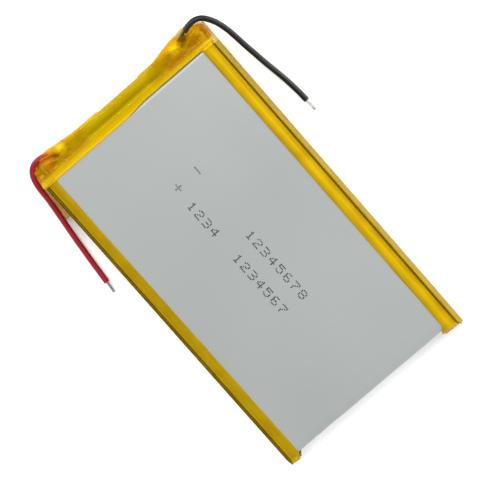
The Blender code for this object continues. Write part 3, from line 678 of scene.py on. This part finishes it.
def rounded_loop(half_width, y_low, y_high, radius, along, across, corner):
    """Points round a rounded rectangle, the same number for any size."""
    xs, loop = half_width - radius, []

    def run(start, end, count):
        for i in range(count):
            loop.append(tuple(a + (b - a) * i / count for a, b in zip(start, end)))

    def turn(cx, cy, first):
        for i in range(corner):
            angle = math.radians(first + 90 * i / corner)
            loop.append((cx + radius * math.cos(angle), cy + radius * math.sin(angle)))

    run((half_width, y_low + radius), (half_width, y_high - radius), along)
    turn(xs, y_high - radius, 0)
    run((xs, y_high), (-xs, y_high), across)
    turn(-xs, y_high - radius, 90)
    run((-half_width, y_high - radius), (-half_width, y_low + radius), along)
    turn(-xs, y_low + radius, 180)
    run((-xs, y_low), (xs, y_low), across)
    turn(xs, y_low + radius, 270)
    return loop


# Drawn half of the pouch: rows of points, corners, and how uneven its surface is
WALL_ROWS = 5
SHOULDER_ROWS = 15
FACE_ROWS = [3.6, 4.4, 5.4, 6.6, 8.0, 9.6, 11.4, 13.4, 15.6, 18.0, 20.6, 23.4, 26.4]  # mm in from the wall
CORNER_RADIUS = 1.4 * MM
LEAST_RADIUS = 0.3 * MM
FOLD_SHOULDER = 0.25 * MM  # at the two ends the shoulder is much narrower than at the sides
TERMINAL_SHOULDER = 0.9 * MM
FOLD_OVERHANG = 0.12 * MM
FACE_UNEVEN = 0.030 * MM
FOLD_RIPPLE = 0.09 * MM
FOLD_DROP = 0.20 * MM
FOLD_SKEW = 0.012  # rise in Y for each unit of X
FOLD_WAVE = 0.08 * MM


def cup_levels():
    """Rows of the cup from the foot of its wall to the middle of its face: distance in, and height."""
    wall_height = Z_TOP - SHOULDER_DROP - Z_RIM
    levels = [(0.0, Z_RIM + wall_height * i / WALL_ROWS) for i in range(WALL_ROWS)]
    for i in range(SHOULDER_ROWS):
        inset = SHOULDER_WIDTH * (1 - math.cos(math.pi / 2 * i / (SHOULDER_ROWS - 1)))
        levels.append((inset, cup_height(inset)))
    return levels + [(value * MM, Z_TOP) for value in FACE_ROWS]


def cup_unevenness(x, y, inset):
    """How far the cup's surface stands off its plain shape: faint waves, and ripples by the folded end."""
    past_fold = y - Y_FOLD
    face = smooth_step(0.0, 4.0 * MM, inset)
    near_fold = smooth_step(0.0, 0.5 * MM, inset) * smooth_step(8.0 * MM, 0.8 * MM, past_fold)
    rise = face * FACE_UNEVEN * noise_at(x, y, 0.0, 14 * MM)
    rise += near_fold * FOLD_RIPPLE * noise_at(x, 0.35 * y, 3.0, 2.6 * MM)
    return rise - near_fold * FOLD_DROP * smooth_step(1.0 * MM, 0.1 * MM, past_fold)


def make_cup():
    """The drawn half of the pouch: soft shoulders, faintly wavy near the folded end."""
    levels = cup_levels()
    verts = []
    for inset, height in levels:
        part = min(1.0, inset / SHOULDER_WIDTH)
        beyond = max(0.0, inset - SHOULDER_WIDTH)
        radius = max(LEAST_RADIUS, (1.0 - part) * CORNER_RADIUS)
        y_low = Y_FOLD - FOLD_OVERHANG + part * FOLD_SHOULDER + beyond
        y_high = Y_CUP - part * TERMINAL_SHOULDER - beyond
        loop = rounded_loop(X_WALL - inset, y_low, y_high, radius, along=110, across=70, corner=8)
        for x, y in loop:
            z = height + (cup_unevenness(x, y, inset) if inset > 0 else 0.0)
            # the folded end runs slightly askew and wavy
            wave = FOLD_SKEW * x + FOLD_WAVE * noise_at(x, 5.0 * MM, 1.0, 6 * MM)
            shifted = y + wave * smooth_step(6.0 * MM, 0.0, y - Y_FOLD)
            verts.append((x, shifted, z))
    count = len(loop)
    faces = grid_faces(len(levels), count, closed=True)
    base = (len(levels) - 1) * count
    faces.append(tuple(base + k for k in range(count)))
    cup = mesh_object("pouch_drawn_half", verts, faces, MATERIALS["laminate"])
    thicken(cup, CUP_LAMINATE, -1.0)
    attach(cup, "root")
    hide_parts("pouch_cup")


# Inner plies of the side seals: stations along them, heights of their rows, and how they give way
SEAL_STATIONS = 160
SEAL_HEIGHTS = [Z_RIM + 0.2 * MM, 3.0 * MM, 6.0 * MM, 8.0 * MM, 8.15 * MM]
SEAL_INWARD = 0.08 * MM
SEAL_LIFT = 0.06 * MM
SEAL_LEAN = 0.03 * MM
SEAL_END_HEIGHT = 4.6 * MM  # both ends of a ply come down to it
# Upper ply of the terrace: half its width, and its rows in mm as distance past the cup and height
TERRACE_HALF = 28.6 * MM
TERRACE_STEPS = 60
TERRACE_ROWS = [(-0.1, 0.85), (0.4, 0.84), (2.5, 0.80), (5.0, 0.82)]


def make_side_ply(name, side):
    """The inner ply of a folded-up side seal."""
    points = []
    y_low, y_high = Y_EAR + 0.3 * MM, Y_CUP + SEAL_OVERRUN
    for i in range(SEAL_STATIONS + 1):
        y = y_low + (y_high - y_low) * i / SEAL_STATIONS
        lift = SEAL_LIFT * noise_at(0.0, y, side, 5 * MM)
        lowered = smooth_step(Y_FOLD, Y_EAR, y) + smooth_step(Y_CUP - 0.5 * MM, Y_CUP + 1.0 * MM, y)
        for z in SEAL_HEIGHTS:
            top = 1.0 if z > 3.5 * MM else 0.0
            lean = SEAL_LEAN * noise_at(0.0, y, z + side, 9 * MM) * z / (8 * MM)
            height = z + lift * top - lowered * max(0.0, z - SEAL_END_HEIGHT)
            points.append((side * (X_PLY - SEAL_INWARD - abs(lean)), y, height))
    ply = sheet(f"seal_ply_{name}", points, len(SEAL_HEIGHTS), "laminate", PLY_LAMINATE)
    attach(ply, "root")


def make_terrace():
    """The upper ply of the terrace seal, beyond the cup's end wall."""
    points = []
    for past_wall, z in TERRACE_ROWS:
        y = Y_CUP + past_wall * MM
        for i in range(TERRACE_STEPS + 1):
            x = -TERRACE_HALF + 2 * TERRACE_HALF * i / TERRACE_STEPS
            points.append((x, y, z * MM + 0.02 * MM * noise_at(x, y, 0, 2 * MM)))
    terrace = sheet("terrace_seal", points, TERRACE_STEPS + 1, "laminate", PLY_LAMINATE, -1.0)
    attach(terrace, "root")


# ---- side tapes


TAPE_LIFT = 0.035 * MM  # of the tape over the cup
# Groove between the cup and the seal, and the seal's top: mm out from the cup's wall, height in mm
GROOVE = [(0.04, 7.2), (0.08, 7.05), (0.12, 7.2), (0.15, 7.9), (0.20, 8.36), (0.30, 8.43)]
# Turns at the top and at the foot of the outer wall: mm in from the tape's outside, height in mm
TOP_TURN = [(0.12, 8.42), (0.03, 8.30)]
FOOT_TURN = [(0.0, 0.30), (0.06, 0.14), (0.25, 0.105)]
OUTER_WALL = [7.8, 6.4, 5.0, 3.6, 2.2, 1.0]  # heights in mm
UNDERSIDE = 0.105 * MM


def tape_section():
    """Section of a side tape in X and Z for the +X side, from its edge on the face round to the underside.

    Gives the points, the number of them on the upper leaf, and the index where the outer wall ends.
    """
    points = []
    for x in np.linspace(X_FACE, X_WALL - TURN_WIDTH, 16)[:-1]:
        points.append((x, cup_height(X_WALL - x) + TAPE_LIFT))
    for i in range(8):
        x = X_WALL - TURN_WIDTH * (1 - math.sin(math.pi / 2 * i / 7))
        points.append((x + 0.5 * TAPE_LIFT, cup_height(X_WALL - x) + TAPE_LIFT))
    points += [(X_WALL + out * MM, z * MM) for out, z in GROOVE]
    points += [(X_TAPE - inward * MM, z * MM) for inward, z in TOP_TURN]
    upper = len(points)
    points += [(X_TAPE, z * MM) for z in OUTER_WALL]
    points += [(X_TAPE - inward * MM, z * MM) for inward, z in FOOT_TURN]
    wall_end = len(points) - 1
    for x in np.linspace(X_TAPE - 0.6 * MM, X_FACE - 0.2 * MM, 6):
        points.append((x, UNDERSIDE))
    return points, upper, wall_end


# Inner edge of each ear, X in mm from the usual edge, by distance past the fold
EAR_EDGE = {
    1: [(-1.6, 0.0), (-0.9, -0.2), (0.0, -1.15), (0.8, -1.25), (1.6, -0.95), (2.4, -0.7)],
    -1: [(-1.0, 0.0), (0.0, -0.1), (0.6, 0.15), (1.7, 0.85), (2.4, 1.1)],
}
# How far an ear's end slants: the share of its length that it lacks at its upper edge
EAR_SLANT = {1: 0.46, -1: 0.06}
# Heights that an ear's leaves come to, and the ridge that runs across the upper one
EAR_UPPER = 6.9 * MM
EAR_RISE = 0.3 * MM
EAR_WALL = 7.0 * MM
EAR_LOWER = 4.9 * MM
EAR_DROP = 4.6 * MM
EAR_UNEVEN = 0.08 * MM
RIDGE_HEIGHT = 0.45 * MM
RIDGE_WIDTH = 0.8 * MM
RIDGE_PLACE = 27.6 * MM
RIDGE_SLOPE = 0.5
# Stations along a tape: close together over the ear and the fold, then wider apart
EAR_STATIONS = 34
EAR_STEP = 0.12 * MM
TAPE_STEP = 0.8 * MM
LEFT_TAPER = 0.45 * MM  # the left tape is narrower by this at the terminal end
TAPE_STREAKS = 0.035 * MM
EDGE_WAVE = 0.10 * MM
EDGE_RIPPLE = 0.04 * MM


def tape_stations():
    """Places along a side tape, from the end of the ear to the cup's end wall."""
    y_high = Y_CUP + 0.1 * MM
    stations = [Y_EAR + EAR_STEP * i for i in range(EAR_STATIONS)]
    y = stations[-1]
    while y < y_high:
        y = min(y + TAPE_STEP, y_high)
        stations.append(y)
    return stations


def ear_height(x, px, y, z, on_top, on_wall):
    """Height that a point of the tape comes to at the end of an ear, where both leaves meet."""
    outward = smooth_step(X_FACE + 0.5 * MM, X_WALL, x)
    if on_top:
        from_ridge = abs(px - RIDGE_PLACE - RIDGE_SLOPE * (y - Y_EAR)) / RIDGE_WIDTH
        return EAR_UPPER + EAR_RISE * outward + RIDGE_HEIGHT * max(0.0, 1 - from_ridge)
    if on_wall:
        return min(z, EAR_WALL)
    return EAR_LOWER - EAR_DROP * outward


def make_side_tape(name, side):
    """A strip of amber tape from the face over the folded seal to the underside, and on over the ear."""
    section, upper, wall_end = tape_section()
    stations = tape_stations()
    verts = []
    seed = 7.0 * side
    for y in stations:
        past = smooth_step(Y_FOLD + 0.1 * MM, Y_EAR, y)  # 0 on the cup, 1 at the end of the ear
        edge_shift = hermite(EAR_EDGE[side], (Y_FOLD - y) / MM) * MM
        if side < 0:
            edge_shift += LEFT_TAPER * smooth_step(0.0, 1.0, (y - Y_FOLD) / (Y_CUP - Y_FOLD))
        edge_wave = EDGE_WAVE * noise_at(0.0, y, seed, 7 * MM)
        edge_wave += EDGE_RIPPLE * noise_at(0.0, y, seed + 2, 1.5 * MM)
        for k, (x, z) in enumerate(section):
            on_top = k < upper
            px, pz = x, z
            if on_top:
                streak = noise_at(x, y * 0.12, seed, 0.9 * MM) + 0.5 * noise_at(x, y * 0.3, seed, 0.4 * MM)
                pz += TAPE_STREAKS * streak * smooth_step(X_FACE, X_FACE + 0.6 * MM, x)
            px += edge_wave * smooth_step(X_FACE + 0.8 * MM, X_FACE, x)
            px += edge_shift * smooth_step(X_WALL, X_FACE, x)
            if past > 0:  # both leaves come together towards the end of the ear
                pz += (ear_height(x, px, y, z, on_top, k < wall_end) - pz) * past
                pz += past * EAR_UNEVEN * noise_at(x, y, seed + 4, 0.9 * MM)
            short = EAR_SLANT[side] * smooth_step(1.0 * MM, 7.0 * MM, pz)
            py = y + (Y_FOLD - y) * short if y < Y_FOLD else y
            verts.append((side * px, py, pz))
    faces = grid_faces(len(stations), len(section))
    tape = mesh_object(f"{name}_film", verts, faces, MATERIALS["amber"])
    tape.data.materials.append(MATERIALS["amber_wall"])
    for index, face in enumerate(tape.data.polygons):
        if upper - 1 <= index % (len(section) - 1) < wall_end:
            face.material_index = 1
    thicken(tape, TAPE)
    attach(tape, "root")
    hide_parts(name)


# ---- terminal end

# Outer end of the wrap, Y by X in mm: drawn in over the middle, pushed out by the joints and leads
WRAP_END = [
    (-30.0, 52.25), (-28.5, 52.7), (-27.6, 53.3), (-27.0, 53.85), (-25.2, 54.1),
    (-23.5, 53.95), (-21.0, 53.6),
    (-17.0, 53.2), (-10.0, 52.75), (0.0, 52.4), (8.0, 52.50), (12.0, 52.9), (16.0, 53.7),
    (20.0, 54.4), (25.2, 54.85), (26.0, 54.1), (27.5, 53.6), (29.0, 53.0), (30.0, 52.3),
]
# Height of the wrap in mm by distance from its edge on the drawn face, over the middle and over the joints
WRAP_MIDDLE = [
    (0.0, 8.95), (0.40, 8.92), (0.7, 8.5), (1.0, 7.8), (1.4, 7.0), (1.8, 6.3), (2.2, 5.8), (2.6, 5.5),
    (3.0, 5.42), (3.5, 5.6), (4.1, 5.9), (4.8, 6.05), (5.4, 5.95), (5.9, 5.7), (7.5, 5.4),
]
WRAP_JOINTS = [
    (0.0, 8.95), (0.45, 8.92), (0.8, 8.5), (1.3, 7.5), (1.9, 6.7), (2.6, 6.2), (3.6, 6.0), (4.8, 6.15),
    (5.8, 6.2), (6.8, 5.9), (8.5, 5.7),
]
# How the film lies in mm: from the middle to the joints, over a joint, and beside it
MIDDLE_TO_JOINTS = (9.5, 15.5)
JOINT_BULGE = 0.45
JOINT_HOLLOW = 0.35
HOLLOW_ASIDE = 4.2
HOLLOW_BACK = 2.4
# Where it clings to the leads, in mm
FIRST_STRETCH = 4  # spans of a lead's route
LEAD_PULL = 2.2
CLING_RADIUS = 0.95
CLING_GAP = 0.05
FREE_HEIGHT = 0.15  # of the film over a lead's middle, where the lead stands out of it
# Creases at its corners, in mm
CORNER_DROP = 0.55
LAP_CREASE = 0.40
RIGHT_CREASE = 0.35
LEFT_RIDGE = 0.30
LAP_RIDGE = 0.22
# Crumpled patches at its corners: share, place, width and depth in mm
CRUMPLED = [(0.75, 27.2, 50.9, 1.9, 2.6), (0.45, -28.2, 51.0, 1.8, 1.8)]
# The sheet that is folded over the end, in mm
SKIRT = 8.4
WRAP_COLUMNS = 400
WRAP_ROWS = 88
ROW_STEP = 0.17
EDGE_RADIUS = 0.5
STAND_OFF = 0.60  # of the corner beside the red lead
LAP_SKEW = 0.75
TAB_BULGE = 53.05  # Y that the folded tabs push the end skirt out to
MEAN_CREASE = 0.55


def near(x, y, cx, cy, width, depth):
    return math.exp(-(((x - cx) / width) ** 2) - ((y - cy) / depth) ** 2)


def ridge(value, middle, width):
    return math.exp(-(((value - middle) / width) ** 2))


def lead_trench(x, y):
    """How close a place is to a lead's first stretch, where the film clings, and the lead's height."""
    best, height = math.inf, 0.0
    for route in (BLACK_ROUTE, RED_ROUTE):
        for a, b in zip(route[:FIRST_STRETCH], route[1:]):
            dx, dy = b[0] - a[0], b[1] - a[1]
            t = min(1.0, max(0.0, ((x - a[0]) * dx + (y - a[1]) * dy) / (dx**2 + dy**2)))
            gap = math.hypot(x - a[0] - t * dx, y - a[1] - t * dy)
            if gap < best:
                best, height = gap, a[2] + t * (b[2] - a[2])
    return best, height


def clinging(z, x, y):
    """The film's height by a lead: it clings at first; further out it sits low and the lead stands out."""
    gap, lead = lead_trench(x, y)
    if gap >= LEAD_PULL:
        return z
    cling = math.sqrt(max(0.0, CLING_RADIUS**2 - min(gap, CLING_RADIUS) ** 2)) + CLING_GAP
    covered = smooth_step(25.7, 24.9, x) if x > 0 else smooth_step(27.6, 26.8, -x)
    top = lead + FREE_HEIGHT + (cling - FREE_HEIGHT) * covered
    hold = smooth_step(LEAD_PULL, 0.9, gap) * smooth_step(21.1, 22.6, abs(x))
    return z * (1 - hold) + min(z, top) * hold


def corner_creases(x, reach):
    """What the folded-down corners and their creases add to the film's height."""
    rise = -CORNER_DROP * smooth_step(26.4, 28.9, abs(x)) * smooth_step(1.6, 4.0, reach)
    if x > 0:
        rise -= LAP_CREASE * smooth_step(23.6, 25.4, x) * ridge(reach, 1.15, 0.28)
        rise -= RIGHT_CREASE * ridge(x, 28.75, 0.14) * smooth_step(1.6, 2.2, reach)
    else:
        rise += LEFT_RIDGE * ridge(x, -27.7, 0.22) * smooth_step(1.8, 3.2, reach)
        rise += LAP_RIDGE * near(x, reach, -18.0, 1.35, 5.0, 0.25)
    return rise


def wrap_limit(x):
    """Height in mm that the film keeps under, just above the cup's shoulder and the folded seal."""
    if abs(x) > X_WALL / MM - 0.1:
        return 8.6 - 0.5 * smooth_step(29.2, 29.35, abs(x)) * smooth_step(29.6, 29.45, abs(x))
    shoulder = cup_height(max(0.0, X_WALL - abs(x) * MM)) / MM
    return shoulder + 0.12 + 0.10 * smooth_step(25.0, 26.0, abs(x))


def wrap_height(x, y):
    """Height of the wrap's upper leaf, in mm, at a place in mm."""
    reach = y - Y_LAP / MM
    over = smooth_step(*MIDDLE_TO_JOINTS, abs(x))
    z = hermite(WRAP_MIDDLE, reach) * (1 - over) + hermite(WRAP_JOINTS, reach) * over
    for cx, cy in JOINTS:
        z += JOINT_BULGE * near(x, y, cx, cy, 1.7, 1.0)
        z -= JOINT_HOLLOW * near(x, y, cx + math.copysign(HOLLOW_ASIDE, cx), cy - HOLLOW_BACK, 1.8, 0.9)
    z = clinging(z, x, y) + corner_creases(x, reach)
    return min(z, wrap_limit(x))


def crumple(x, y):
    """How much the film is creased at a place in mm, from 0 to 1."""
    amount = 0.06
    for cx, cy in JOINTS:
        amount += 0.9 * near(x, y, cx, cy, 2.4, 1.4)
        amount += 0.30 * near(x, y, cx, cy - 1.5, 5.0, 2.6)
    for share, *patch in CRUMPLED:
        amount += share * near(x, y, *patch)
    return min(1.0, amount)


def fold_over(value, edge, radius):
    """A path that runs level, turns down over a rounded edge and drops. Gives its place and its drop."""
    start = edge - radius
    if value <= start:
        return value, 0.0
    angle = (value - start) / radius
    if angle < math.pi / 2:
        return start + radius * math.sin(angle), radius * (1 - math.cos(angle))
    return edge, radius + (value - start - radius * math.pi / 2)


def wrap_point(u, v, side_edge, first):
    """Place in mm of a point of the sheet: u across it and v along it, from its edge on the drawn face."""
    px, drop_x = fold_over(abs(u), side_edge, EDGE_RADIUS)
    if u < 0:  # the corner beside the red lead stands off the cell
        px += STAND_OFF * smooth_step(28.9, 29.95, px) * smooth_step(first - 0.2, first + 0.8, v)
    px = math.copysign(px, u)
    end = hermite(WRAP_END, px)
    # the lap's edge runs slightly askew: it uncovers the pouch's shoulder towards the black lead
    start = first + LAP_SKEW * smooth_step(-2.0, 6.0, u) * smooth_step(27.0, 25.0, u)
    along = start + (v - first) * (1 + (first - start) / (end - first)) if v < end else v
    py, drop_y = fold_over(along, end, EDGE_RADIUS)
    if drop_y > 0:  # the end skirt bulges over the folded tabs behind it
        over_tab = smooth_step(6.6, 8.2, abs(px)) * smooth_step(19.0, 17.6, abs(px))
        py += max(0.0, TAB_BULGE - end) * over_tab * smooth_step(0.3, 1.2, drop_y)
    drop = math.hypot(drop_x, drop_y)
    z = wrap_height(px, py) - drop
    creases = crumple(px, py)
    lift = (ridged(u, v, 2.0, 2.0, 2) - MEAN_CREASE) * creases
    lift += 0.05 * noise_at(u, v, 5.0, 3.0) + 0.05 * noise_at(0.35 * u, v, 8.0, 1.2)
    if drop < 0.7:
        z += max(lift, -0.25) * smooth_step(0.0, 0.8, v - first)
    elif drop_y > drop_x:
        py += 0.5 * max(lift, -0.2) + 0.15 * creases * noise_at(u, v, 9.0, 1.4)
    else:
        px += math.copysign(0.20 * max(lift, -0.05), px)
    return px, py, max(z, 0.10 + 0.05 * creases)


def make_wrap():
    """Film over the terminal end: a lid with skirts down the end and both sides."""
    side_edge = (X_OUT - 0.03 * MM) / MM
    half = side_edge + SKIRT
    first = Y_LAP / MM
    verts = []
    for row in range(WRAP_ROWS):
        v = first + ROW_STEP * row
        for column in range(WRAP_COLUMNS + 1):
            u = -half + 2 * half * column / WRAP_COLUMNS
            verts.append(tuple(value * MM for value in wrap_point(u, v, side_edge, first)))
    wrap = sheet("terminal_wrap_film", verts, WRAP_COLUMNS + 1, "wrap", WRAP_FILM)
    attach(wrap, "root")
    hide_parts("terminal_wrap")


def make_underside():
    """The wrap's leaf under the cell."""
    verts = []
    y_low, y_high = Y_CUP - WRAP_BOTTOM_LAP, Y_CUP + WRAP_UNDER_REACH
    half = X_OUT - 0.15 * MM
    rows, columns = 24, 120
    for i in range(rows + 1):
        y = y_low + (y_high - y_low) * i / rows
        for j in range(columns + 1):
            x = -half + 2 * half * j / columns
            edge = 0.12 * MM * noise_at(x, 0, 4, 5 * MM) if i == 0 else 0.0
            verts.append((x, y + edge, 0.045 * MM + 0.012 * MM * noise_at(x, y, 1, 2 * MM)))
    leaf = sheet("terminal_wrap_underside", verts, columns + 1, "wrap", WRAP_FILM)
    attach(leaf, "root")


# Lower edge of the flap: Y in mm, how far out from the cell's side, height
FLAP_EDGE = [
    (36.7, 2.85, 2.2), (40.4, 2.35, 2.7), (43.6, 1.95, 3.2), (46.8, 1.65, 3.7),
    (49.6, 1.15, 4.3), (50.9, 0.7, 4.6), (52.0, 0.15, 4.7),
]
# Upper edge of the flap, against the seal: Y in mm, height
FLAP_TOP = [(44.5, 8.0), (46.4, 7.9), (48.2, 5.4), (52.0, 5.2)]


def make_flap():
    """The wrap's loose flap: it leans from the red lead's side wall out onto the lead."""
    verts = []
    y_low, y_high = FLAP_EDGE[0][0], FLAP_EDGE[-1][0]
    stations, columns = 60, 16
    for i in range(stations + 1):
        y = y_low + (y_high - y_low) * i / stations
        off = hermite([(p[0], p[1]) for p in FLAP_EDGE], y)
        low = hermite([(p[0], p[2]) for p in FLAP_EDGE], y)
        high = hermite(FLAP_TOP, y)
        for j in range(columns + 1):
            part = j / columns
            out = 0.05 + off * part**1.6 + 0.10 * part * noise_at(0.0, y, part, 2.5)
            z = high + (low - high) * part
            verts.append((-(X_OUT + out * MM), y * MM, z * MM))
    flap = sheet("terminal_wrap_flap", verts, columns + 1, "flap", WRAP_FILM)
    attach(flap, "root")


def make_solder(name, sign):
    """An uneven blob of solder with a shallow skirt where it wets the pad."""
    low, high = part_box(name)
    centre = (low + high) / 2
    half = (high - low) / 2
    rings, sides = 14, 26
    verts = []
    for i in range(rings + 1):
        part = i / rings
        radius = 1.08 * math.cos(part * math.pi / 2 * 0.98) ** 0.75
        height = math.sin(part * math.pi / 2)
        for k in range(sides):
            angle = 2 * math.pi * k / sides
            swell = 1 + 0.10 * noise_at(math.cos(angle), math.sin(angle), part * 2 + sign, 0.8)
            x = centre.x + half.x * radius * swell * math.cos(angle)
            y = centre.y + half.y * radius * swell * math.sin(angle)
            verts.append((x, y, low.z + 2 * half.z * height * (0.94 + 0.06 * swell)))
    faces = tube_faces(0, rings + 1, sides)
    blob = mesh_object(f"{name}_blob", verts, faces, MATERIALS["solder"])
    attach(blob, "root")
    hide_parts(name)


# ---- printed marks

# Five-by-seven dot patterns, rows from the top
DIGITS = {
    "1": "00100 01100 00100 00100 00100 00100 01110",
    "2": "01110 10001 00001 00110 01000 10000 11111",
    "3": "11110 00001 00001 01110 00001 00001 11110",
    "4": "00010 00110 01010 10010 11111 00010 00010",
    "5": "11111 10000 11110 00001 00001 10001 01110",
    "6": "01110 10000 10000 11110 10001 10001 01110",
    "7": "11111 00001 00010 00100 01000 01000 01000",
    "8": "01110 10001 10001 01110 10001 10001 01110",
    "+": "00000 00100 00100 11111 00100 00100 00000",
    "-": "00000 00000 00000 11111 00000 00000 00000",
}


# Each text with X of its middle and Y of its start, in mm
MARKS = [
    ("-", 4.05, 25.1),
    ("+", -2.85, 24.9),
    ("1234", -3.4, 18.6),
    ("1234567", -3.4, 0.2),
    ("12345678", 3.3, 2.8),
]
DOT_RADIUS = 0.18 * MM
DOT_SIDES = 8
DOT_TOP = Z_TOP + 0.045 * MM
DOT_DEPTH = 0.03 * MM
DOT_JITTER = 0.05 * MM
SIGN_PITCH = 0.43 * MM  # between the dots of a polarity mark
DIGIT_PITCH = 0.36 * MM
COLUMN_STRETCH = 1.15
LETTER_STEP = 3.0 * MM


def mark_dots():
    """Middles of all the dots, before they are unsettled."""
    for text, x_middle, y_start in MARKS:
        pitch = SIGN_PITCH if len(text) == 1 else DIGIT_PITCH
        for index, letter in enumerate(text):
            for row, bits in enumerate(DIGITS[letter].split()):
                for column, bit in enumerate(bits):
                    if bit == "1":
                        x = x_middle * MM + (3 - row) * pitch
                        yield x, y_start * MM - index * LETTER_STEP - column * pitch * COLUMN_STRETCH


def make_print():
    """Ink-jet dots: polarity marks and rows of digits, read along the cell from the terminal end."""
    verts, faces = [], []
    for x, y in mark_dots():
        x += DOT_JITTER * noise_at(x, y, 0, 0.4 * MM)
        y += DOT_JITTER * noise_at(x, y, 5, 0.4 * MM)
        radius = DOT_RADIUS * (1 + 0.2 * noise_at(x, y, 9, 0.5 * MM))
        base = len(verts)
        for z in (DOT_TOP - DOT_DEPTH, DOT_TOP):
            for k in range(DOT_SIDES):
                angle = 2 * math.pi * k / DOT_SIDES
                verts.append((x + radius * math.cos(angle), y + radius * math.sin(angle), z))
        faces += tube_faces(base, 2, DOT_SIDES)
    ink = mesh_object("printed_marks", verts, faces, MATERIALS["ink"], smooth=False)
    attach(ink, "root")


# ---- assembly

make_camera()
make_lead("black", BLACK_ROUTE)
make_lead("red", RED_ROUTE)
make_studio()
carry_over()
make_cup()
make_side_ply("left", -1)
make_side_ply("right", 1)
make_terrace()
make_side_tape("side_tape_left", -1)
make_side_tape("side_tape_right", 1)
make_solder("positive_solder", -1)
make_solder("negative_solder", 1)
make_wrap()
make_underside()
make_flap()
make_print()
